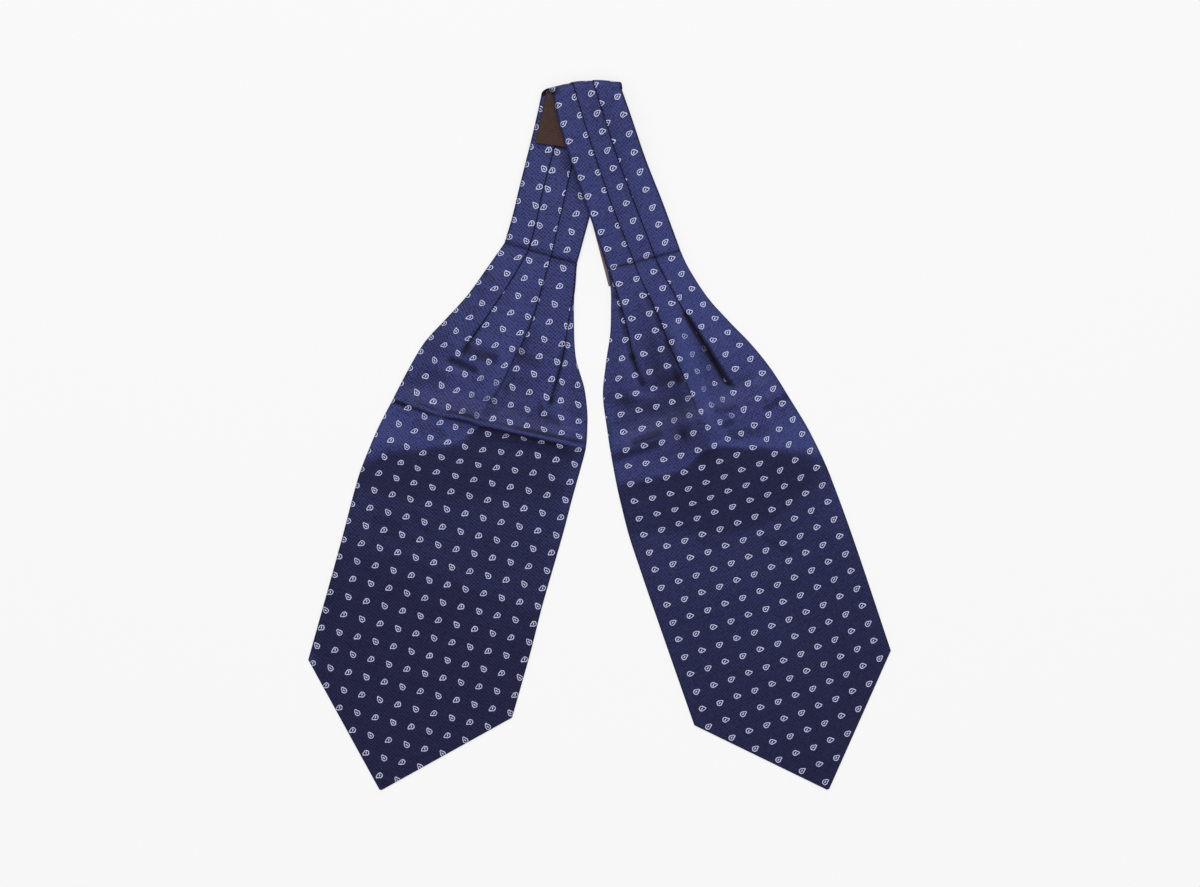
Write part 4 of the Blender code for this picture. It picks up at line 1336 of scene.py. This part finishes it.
class Recipe:
    """The nodes of one material."""

    def __init__(self, name):
        self.material = bpy.data.materials.new(name)
        self.material.use_nodes = True
        self.tree = self.material.node_tree
        self.shader = self.tree.nodes["Principled BSDF"]

    def node(self, kind, settings=None, sockets=None):
        """A node of a type, with its settings, and values or links for its sockets."""
        node = self.tree.nodes.new(kind)
        for key, value in (settings or {}).items():
            setattr(node, key, value)
        for key, value in (sockets or {}).items():
            self.feed(node.inputs[key], value)
        return node

    def feed(self, socket, value):
        """Set a socket to a value, or link it."""
        if isinstance(value, Amount):
            value = value.socket
        if isinstance(value, bpy.types.NodeSocket):
            self.tree.links.new(value, socket)
        else:
            socket.default_value = value

    def amount(self, socket):
        """A socket as a number for arithmetic."""
        return Amount(self, socket)

    def mix(self, factor, first, second):
        """Two colours mixed by a number."""
        node = self.node("ShaderNodeMix", {"data_type": "RGBA"})
        for index, value in zip(MIX_INPUTS, (factor, first, second)):
            self.feed(node.inputs[index], value)
        return node.outputs[MIX_RESULT]

    def attribute(self, name):
        """A number that the mesh holds at its points."""
        node = self.node("ShaderNodeAttribute", {"attribute_name": name})
        return self.amount(node.outputs["Fac"])

    def woven(self):
        """The cloth's own coordinates, of warp and weft."""
        weave = self.node("ShaderNodeUVMap", {"uv_map": "weave"})
        split = self.node("ShaderNodeSeparateXYZ", None, {"Vector": weave.outputs["UV"]})
        return self.amount(split.outputs["X"]), self.amount(split.outputs["Y"])

    def noise(self, scale, detail, roughness, vector=None):
        """An even noise about 0, in the piece's space or on a given vector."""
        if vector is None:
            vector = self.node("ShaderNodeTexCoord").outputs["Object"]
        node = self.node("ShaderNodeTexNoise", None, {
            "Vector": vector, "Scale": scale, "Detail": detail, "Roughness": roughness,
        })
        return self.amount(node.outputs["Fac"]) - 0.5

    def bump(self, relief):
        """A normal that shows relief given in millimetres."""
        node = self.node("ShaderNodeBump", None, {
            "Strength": BUMP_STRENGTH, "Distance": MM, "Height": relief,
        })
        return node.outputs["Normal"]

    def finish(self, sockets):
        """The material, with its shader's sockets fed."""
        for key, value in sockets.items():
            self.feed(self.shader.inputs[key], value)
        return self.material


class Amount:
    """A number in a material: arithmetic on it adds Math nodes."""

    def __init__(self, recipe, socket):
        self.recipe = recipe
        self.socket = socket

    def combined(self, operation, *values):
        """A Math node on some values."""
        node = self.recipe.node("ShaderNodeMath", {"operation": operation})
        for socket, value in zip(node.inputs, values):
            self.recipe.feed(socket, value)
        return Amount(self.recipe, node.outputs[0])

    def math(self, operation, *others):
        """A Math node on this number and others."""
        return self.combined(operation, self, *others)

    def __add__(self, other):
        return self.combined("ADD", self, other)

    def __radd__(self, other):
        return self.combined("ADD", other, self)

    def __sub__(self, other):
        return self.combined("SUBTRACT", self, other)

    def __rsub__(self, other):
        return self.combined("SUBTRACT", other, self)

    def __mul__(self, other):
        return self.combined("MULTIPLY", self, other)

    def __rmul__(self, other):
        return self.combined("MULTIPLY", other, self)

    def size(self):
        """Without its sign."""
        return self.math("ABSOLUTE")

    def least(self, other):
        """The lower of two."""
        return self.math("MINIMUM", other)

    def most(self, other):
        """The higher of two."""
        return self.math("MAXIMUM", other)

    def wave(self):
        """Its sine."""
        return self.math("SINE")

    def step(self, start, end):
        """Soft step from 0 at start to 1 at end."""
        node = self.recipe.node(
            "ShaderNodeMapRange",
            {"interpolation_type": "SMOOTHSTEP"},
            {"Value": self, "From Min": min(start, end), "From Max": max(start, end)},
        )
        rising = Amount(self.recipe, node.outputs["Result"])
        return rising if start < end else 1.0 - rising


def distance(one, other):
    """Length of a run given by its two parts."""
    return (one * one + other * other).math("SQRT")


def weighed(amounts, shares):
    """Some numbers' sum, each by its share."""
    return sum(amount * share for amount, share in zip(amounts, shares))


def capsule(ahead, aside, length, start_radius, end_radius):
    """Distance from a round-ended wedge that lies from (0, 0) ahead to (length, 0)."""
    narrow = (start_radius - end_radius) / length
    wide = math.sqrt(1.0 - narrow * narrow)
    aside = aside.size()
    along = aside * -narrow + ahead * wide
    slant = aside * wide + ahead * narrow - start_radius
    start = distance(ahead, aside) - start_radius
    end = distance(ahead - length, aside) - end_radius
    past_start = along.math("LESS_THAN", 0.0)
    past_end = along.math("GREATER_THAN", wide * length)
    body = slant * (1.0 - past_start) * (1.0 - past_end)
    return body + start * past_start + end * past_end


# The woven motif: a small drop with a dot in it
DROP_BACK = 0.7           # from the motif's middle back to the middle of its bulb
DROP_LENGTH = 2.35        # from there to the middle of its tip
DROP_BULB = 2.1           # radius of the bulb, and of the tip
DROP_TIP = 1.0
DROP_STROKE = 0.64        # width of its outline
DROP_BEND = 0.07          # how much it bends to one side
DROP_FRAY = 0.12          # how far the twill frays its outline
DROP_SOFTNESS = 0.12      # and over what distance its thread comes in
DOT_LENGTH = 1.2
DOT_RADIUS = 0.42
DOT_TAPER = 0.8           # share of that radius at its end
DOT_AHEAD = 0.25          # where its slanting line crosses the drop
DOT_LEAN = 1.15           # radians that it leans on every other drop
DOT_START = 0.4           # share of its length that lies before that crossing
DOT_SHIFT = 0.15          # and how much more of it where it leans
HOLLOW_DEPTH = 0.6        # how much darker the ground looks in and round a drop
HOLLOW_EDGE = (0.9, -0.3)

# The twill's three sets of fine waves: how fast each runs across and along the weave, against
# the twill's own lines, and its height.
TWILL_WAVES = ((1.0, -0.6, 0.55), (0.5, 0.9, 0.5), (0.0, 0.66, 0.12))

# The silk's noises: scale, detail and roughness
MOTTLE = (55.0, 3.0, 0.55)
GRAIN = (600.0, 2.0, 0.6)
SLUBS = (1.0, 2.0, 0.5)
SLUB_COUNTS = (0.55, 7.0)           # slubs to a repeat, across and along
# How much each adds to the ground's tone, and the grain to the drops'
MOTTLE_TONE = 0.3
GRAIN_TONE = 2.0
SLUB_TONE = 0.6
THREAD_TONE = 0.6

SILK_ROUGHNESS = 0.46
DROP_ROUGHNESS = 0.1      # what the drops and the mottle add to that
MOTTLE_ROUGHNESS = 0.06
SHEEN_ROUGHNESS = 0.4
SHEEN_TINT = (0.45, 0.5, 1.0, 1.0)
TWILL_RELIEF = 0.06       # millimetres
DROP_RELIEF = 0.09
GRAIN_RELIEF = 0.06

# The labels' satin
SATIN_NOISE = (260.0, 3.0, 0.6)
SATIN_SPREAD = 1.3        # spacing of its cross ribs, against its ribs
SATIN_BASE = 0.6          # its tone, and what ribs, cross ribs and grain add to that
SATIN_TONES = (0.12, 0.08, 0.9)
SATIN_RANGE = (0.0, 1.2)
SATIN_RELIEFS = (0.03, 0.02, 0.06)
SATIN_ROUGHNESS = (0.42, 0.15)
SATIN_GLOSS = 0.12
LABEL_SHADE = 0.5         # each label's darker threads, as a share of its tone
LABEL_RIB = 0.0011        # and the spacing of its ribs, in metres
TAPE_SHADE = 0.6
TAPE_RIB = 0.0009


def twill_waves(warp, weft, relief):
    """The twill's fine waves there, as clear as relief has them."""
    values = settings()
    turn = 2.0 * math.pi / values.twill
    threads = warp * (values.repeat * turn)
    picks = weft * (values.repeat_along * turn)
    waves = [
        (threads * across + picks * along).wave() * height for across, along, height in TWILL_WAVES
    ]
    return sum(waves) * relief


def woven_drop(warp, weft, twill, motif):
    """How much of a drop's thread lies there, and the distance out past the drop's edge."""
    values = settings()
    column = warp.math("ROUND")
    row = weft.math("ROUND")
    odd = (column + row).math("FLOORED_MODULO", 2.0)
    side = (warp - column) * values.repeat
    down = (weft - row) * values.repeat_along
    even_turn, odd_turn = math.radians(motif.even_turn), math.radians(motif.odd_turn)
    cosine = math.cos(even_turn) + odd * (math.cos(odd_turn) - math.cos(even_turn))
    sine = math.sin(even_turn) + odd * (math.sin(odd_turn) - math.sin(even_turn))
    ahead = side * cosine + down * sine + DROP_BACK
    aside = (down * cosine - side * sine) * (1.0 - 2.0 * odd)
    bowed = aside - (ahead.most(0.0) * ahead.most(0.0)) * DROP_BEND
    edge = capsule(ahead, bowed, DROP_LENGTH, DROP_BULB, DROP_TIP) + twill * DROP_FRAY
    stroke = (edge + DROP_STROKE * 0.5).size() - DROP_STROKE * 0.5

    slanted = odd if odd_turn > 0.0 else 1.0 - odd
    lean = slanted * DOT_LEAN
    cosine = lean.math("COSINE")
    sine = lean.math("SINE")
    middle = ahead - DOT_AHEAD
    dot = capsule(
        middle * cosine + aside * sine + DOT_LENGTH * (DOT_START + slanted * DOT_SHIFT),
        aside * cosine - middle * sine,
        DOT_LENGTH, DOT_RADIUS, DOT_RADIUS * DOT_TAPER,
    )
    return stroke.least(dot).step(DROP_SOFTNESS, -DROP_SOFTNESS), edge


def silk(name, motif):
    """Navy silk twill with the small woven drops, turned as they lie on one leg, with painted
    light and shade mixed into its colour.
    """
    values = settings()
    recipe = Recipe(name)
    warp, weft = recipe.woven()
    light, crevice, fade = [recipe.attribute(layer) for layer in ("light", "crevice", "fade")]
    twill = twill_waves(warp, weft, motif.relief)
    drop, edge = woven_drop(warp, weft, twill, motif)

    mottle = recipe.noise(*MOTTLE)
    grain = recipe.noise(*GRAIN)
    slub = recipe.node("ShaderNodeCombineXYZ", None, {
        "X": warp * SLUB_COUNTS[0], "Y": weft * SLUB_COUNTS[1],
    })
    slubs = recipe.noise(*SLUBS, slub.outputs["Vector"])
    uneven = 1.0 + mottle * MOTTLE_TONE + grain * GRAIN_TONE
    uneven = uneven + twill * values.weave_contrast + slubs * SLUB_TONE
    hollow = 1.0 - edge.step(*HOLLOW_EDGE) * (1.0 - fade) * HOLLOW_DEPTH
    ground = recipe.mix(
        light * uneven * hollow, opaque(values.silk_dark), opaque(values.silk_light)
    )
    thread = recipe.mix(
        light + grain * THREAD_TONE, opaque(values.drop_dark), opaque(values.drop_light)
    )
    # The drops dim where painted glare or shade lies on them.
    color = recipe.mix(drop * (1.0 - fade), ground, thread)
    return recipe.finish({
        # Painted shade of pleats' gaps, seams and sewn edges darkens the colour here.
        "Base Color": recipe.mix(crevice, color, opaque(values.crevice_color)),
        "Roughness": SILK_ROUGHNESS + drop * DROP_ROUGHNESS + mottle * MOTTLE_ROUGHNESS,
        "Specular IOR Level": values.gloss,
        "Sheen Weight": values.sheen,
        "Sheen Roughness": SHEEN_ROUGHNESS,
        "Sheen Tint": SHEEN_TINT,
        "Normal": recipe.bump(twill * TWILL_RELIEF + drop * DROP_RELIEF + grain * GRAIN_RELIEF),
    })


def satin(name, tone, shade, rib):
    """A woven label: fine ribs across it and a soft shine, its shade a share of its tone."""
    recipe = Recipe(name)
    across, along = recipe.woven()
    ribs = (along * (2.0 * math.pi / rib)).wave()
    cross = (across * (2.0 * math.pi / (rib * SATIN_SPREAD))).wave()
    grain = recipe.noise(*SATIN_NOISE)
    factor = SATIN_BASE + weighed((ribs, cross, grain), SATIN_TONES)
    dark = [shade * part for part in tone]
    rough, rougher = SATIN_ROUGHNESS
    return recipe.finish({
        "Base Color": recipe.mix(factor.step(*SATIN_RANGE), opaque(dark), opaque(tone)),
        "Roughness": rough + grain * rougher,
        "Specular IOR Level": SATIN_GLOSS,
        "Normal": recipe.bump(weighed((ribs, cross, grain), SATIN_RELIEFS)),
    })


# ---------------------------------------------------------------- settings

def tint(name, description, *tone):
    """A colour among the settings."""
    return FloatVectorProperty(
        name=name, description=description, default=tone, size=3, min=0.0, max=1.0, subtype="COLOR"
    )


def number(name, description, default, low=0.0, **limits):
    """A number among the settings."""
    return FloatProperty(name=name, description=description, default=default, min=low, **limits)


class CRAVAT_settings(bpy.types.PropertyGroup):
    """Sizes and colours of the cravat and its stage."""

    repeat: number(
        "Repeat across", "Spacing of the woven drops across the cloth, in mm", 13.9, 5.0
    )
    repeat_along: number(
        "Repeat along", "Spacing of the woven drops along the cloth, in mm", 13.8, 5.0
    )
    twill: number("Twill", "Spacing of the twill's lines, in mm", 2.2, 0.3)
    weave_contrast: number("Weave contrast", "How strongly the twill's lines show", 0.62, max=2.0)
    gloss: number("Gloss", "Strength of the silk's reflection", 0.1, max=1.0, subtype="FACTOR")
    sheen: number("Sheen", "Soft shine of the silk at a slant", 0.02, max=1.0, subtype="FACTOR")
    # Painted light and shade: the silk and the drops each have a lit and a shaded colour, mixed by
    # the mesh's painted light attribute.
    silk_light: tint(
        "Silk in light", "Colour of the silk that faces the light", 0.042, 0.051, 0.178
    )
    silk_dark: tint(
        "Silk in shade", "Colour of the silk that turns from the light", 0.0043, 0.0031, 0.0168
    )
    # Painted shade: the dark colour mixed in where pleats' gaps, seams and sewn edges would lie in
    # shade.
    crevice_color: tint(
        "Crevices", "Colour deep in a pleat, a seam or a sewn edge", 0.0030, 0.0035, 0.012
    )
    drop_light: tint(
        "Drops in light", "Colour of the woven drops that face the light", 0.54, 0.57, 0.84
    )
    drop_dark: tint(
        "Drops in shade", "Colour of the woven drops that turn from the light", 0.47, 0.48, 0.68
    )
    label_color: tint("Neck label", "Colour of the neck label's satin", 0.064, 0.031, 0.023)
    tape_color: tint("Care label", "Colour of the care label's tape", 0.20, 0.145, 0.12)
    floor_color: tint("Floor", "Colour of the floor", 0.22, 0.22, 0.22)
    floor_glow: number(
        "Floor glow", "Light that the floor gives from below, as a light table does", 0.705
    )
    camera_height: number(
        "Camera height", "Height of the camera over the floor", 4.0, 0.5, unit="LENGTH"
    )
    view_width: number(
        "View width", "Width of floor that the camera sees", 0.9, 0.1, unit="LENGTH"
    )
    key_power: number("Key light", "Power of the large soft light, in watts", 80.0)


def settings():
    """The cravat's settings in this scene."""
    return bpy.context.scene.cravat


# ---------------------------------------------------------------- operators

FLOOR_SIZE = 8.0
FLOOR_DROP = 0.0002       # how far the floor lies under the cloth, in metres
WHITE = (1.0, 1.0, 1.0, 1.0)
ROOM_LIGHT = 0.55
# Each lamp: where it hangs, and its power as a share of the key light's.
LAMPS = (("Key light", (-0.4, 2.2, 3.0), 1.0), ("Fill light", (1.2, -1.8, 3.0), 0.25))
LAMP_SIZE = 2.2
SENSOR = 36.0
CAMERA_PLACE = (0.25 * MM, -6.25 * MM)


def dress(piece, node, material):
    """Finish a piece: its material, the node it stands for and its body."""
    piece.data.materials.append(material)
    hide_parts(node)
    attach(piece, "root")


class CRAVAT_OT_neckband(bpy.types.Operator):
    """Make the pleated neckband, folded once at the neck"""

    bl_idname = "cravat.neckband"
    bl_label = "Neckband"

    def execute(self, context):
        piece = build_neckband()
        dress(piece, "neckband", silk("Band silk", RIGHT.motif))
        piece.data.materials.append(silk("Band silk, inner face", LEFT.motif))
        return {"FINISHED"}


class CRAVAT_OT_left_blade(bpy.types.Operator):
    """Make the left blade, with its inner face up"""

    bl_idname = "cravat.left_blade"
    bl_label = "Left blade"

    def execute(self, context):
        piece = build_blade("left_blade_silk", LEFT)
        dress(piece, "blade_left", silk("Left blade silk", LEFT.motif))
        return {"FINISHED"}


class CRAVAT_OT_right_blade(bpy.types.Operator):
    """Make the right blade, with its outer face up"""

    bl_idname = "cravat.right_blade"
    bl_label = "Right blade"

    def execute(self, context):
        piece = build_blade("right_blade_silk", RIGHT)
        dress(piece, "blade_right", silk("Right blade silk", RIGHT.motif))
        return {"FINISHED"}


class CRAVAT_OT_neck_label(bpy.types.Operator):
    """Make the plain satin label inside the fold at the neck"""

    bl_idname = "cravat.neck_label"
    bl_label = "Neck label"

    def execute(self, context):
        piece = build_neck_label()
        material = satin("Neck label satin", settings().label_color, LABEL_SHADE, LABEL_RIB)
        dress(piece, "neck_label", material)
        return {"FINISHED"}


class CRAVAT_OT_care_label(bpy.types.Operator):
    """Make the small tape under the right leg"""

    bl_idname = "cravat.care_label"
    bl_label = "Care label"

    def execute(self, context):
        piece = build_care_label()
        material = satin("Care label tape", settings().tape_color, TAPE_SHADE, TAPE_RIB)
        dress(piece, "care_label", material)
        return {"FINISHED"}


class CRAVAT_OT_stage(bpy.types.Operator):
    """Make the pale floor, the soft light and the camera that looks straight down"""

    bl_idname = "cravat.stage"
    bl_label = "Stage"

    def execute(self, context):
        values = settings()
        scene = context.scene
        bpy.ops.object.select_all(action="DESELECT")
        bpy.ops.mesh.primitive_plane_add(size=FLOOR_SIZE, location=(0.0, 0.0, -FLOOR_DROP))
        floor = context.object
        floor.name = "floor"
        floor.data.materials.append(Recipe("Pale floor").finish({
            "Base Color": opaque(values.floor_color),
            "Roughness": 1.0,
            "Specular IOR Level": 0.0,
            "Emission Color": WHITE,
            "Emission Strength": values.floor_glow,
        }))

        world = bpy.data.worlds.new("Soft room")
        world.use_nodes = True
        background = world.node_tree.nodes["Background"]
        background.inputs["Color"].default_value = WHITE
        background.inputs["Strength"].default_value = ROOM_LIGHT
        scene.world = world
        for name, place, share in LAMPS:
            lamp = bpy.data.lights.new(name, "AREA")
            lamp.energy = values.key_power * share
            lamp.size = LAMP_SIZE
            holder = bpy.data.objects.new(name, lamp)
            scene.collection.objects.link(holder)
            holder.location = place
            holder.rotation_euler = (-Vector(place)).to_track_quat("-Z", "Y").to_euler()

        view = bpy.data.cameras.new("Camera")
        view.sensor_width = SENSOR
        view.lens = SENSOR * values.camera_height / values.view_width
        camera = bpy.data.objects.new("Camera", view)
        scene.collection.objects.link(camera)
        camera.location = (*CAMERA_PLACE, values.camera_height)
        scene.camera = camera
        scene.view_settings.view_transform = "Standard"
        return {"FINISHED"}


OPERATORS = (
    CRAVAT_OT_neckband,
    CRAVAT_OT_left_blade,
    CRAVAT_OT_right_blade,
    CRAVAT_OT_neck_label,
    CRAVAT_OT_care_label,
    CRAVAT_OT_stage,
)


class CRAVAT_PT_panel(bpy.types.Panel):
    """The cravat's pieces and settings"""

    bl_idname = "CRAVAT_PT_panel"
    bl_label = "Silk cravat"
    bl_space_type = "VIEW_3D"
    bl_region_type = "UI"
    bl_category = "Cravat"

    def draw(self, context):
        for operator in OPERATORS:
            self.layout.operator(operator.bl_idname)
        for name in CRAVAT_settings.__annotations__:
            self.layout.prop(settings(), name)


CLASSES = (CRAVAT_settings, *OPERATORS, CRAVAT_PT_panel)


def register():
    """Register the add-on's classes."""
    for item in CLASSES:
        bpy.utils.register_class(item)
    bpy.types.Scene.cravat = PointerProperty(type=CRAVAT_settings)


def unregister():
    """Remove the add-on's classes."""
    del bpy.types.Scene.cravat
    for item in reversed(CLASSES):
        bpy.utils.unregister_class(item)


def main():
    """Make every piece and the stage."""
    register()
    bpy.ops.cravat.stage()
    bpy.ops.cravat.neckband()
    bpy.ops.cravat.left_blade()
    bpy.ops.cravat.right_blade()
    bpy.ops.cravat.neck_label()
    bpy.ops.cravat.care_label()


if __name__ == "__main__":
    main()
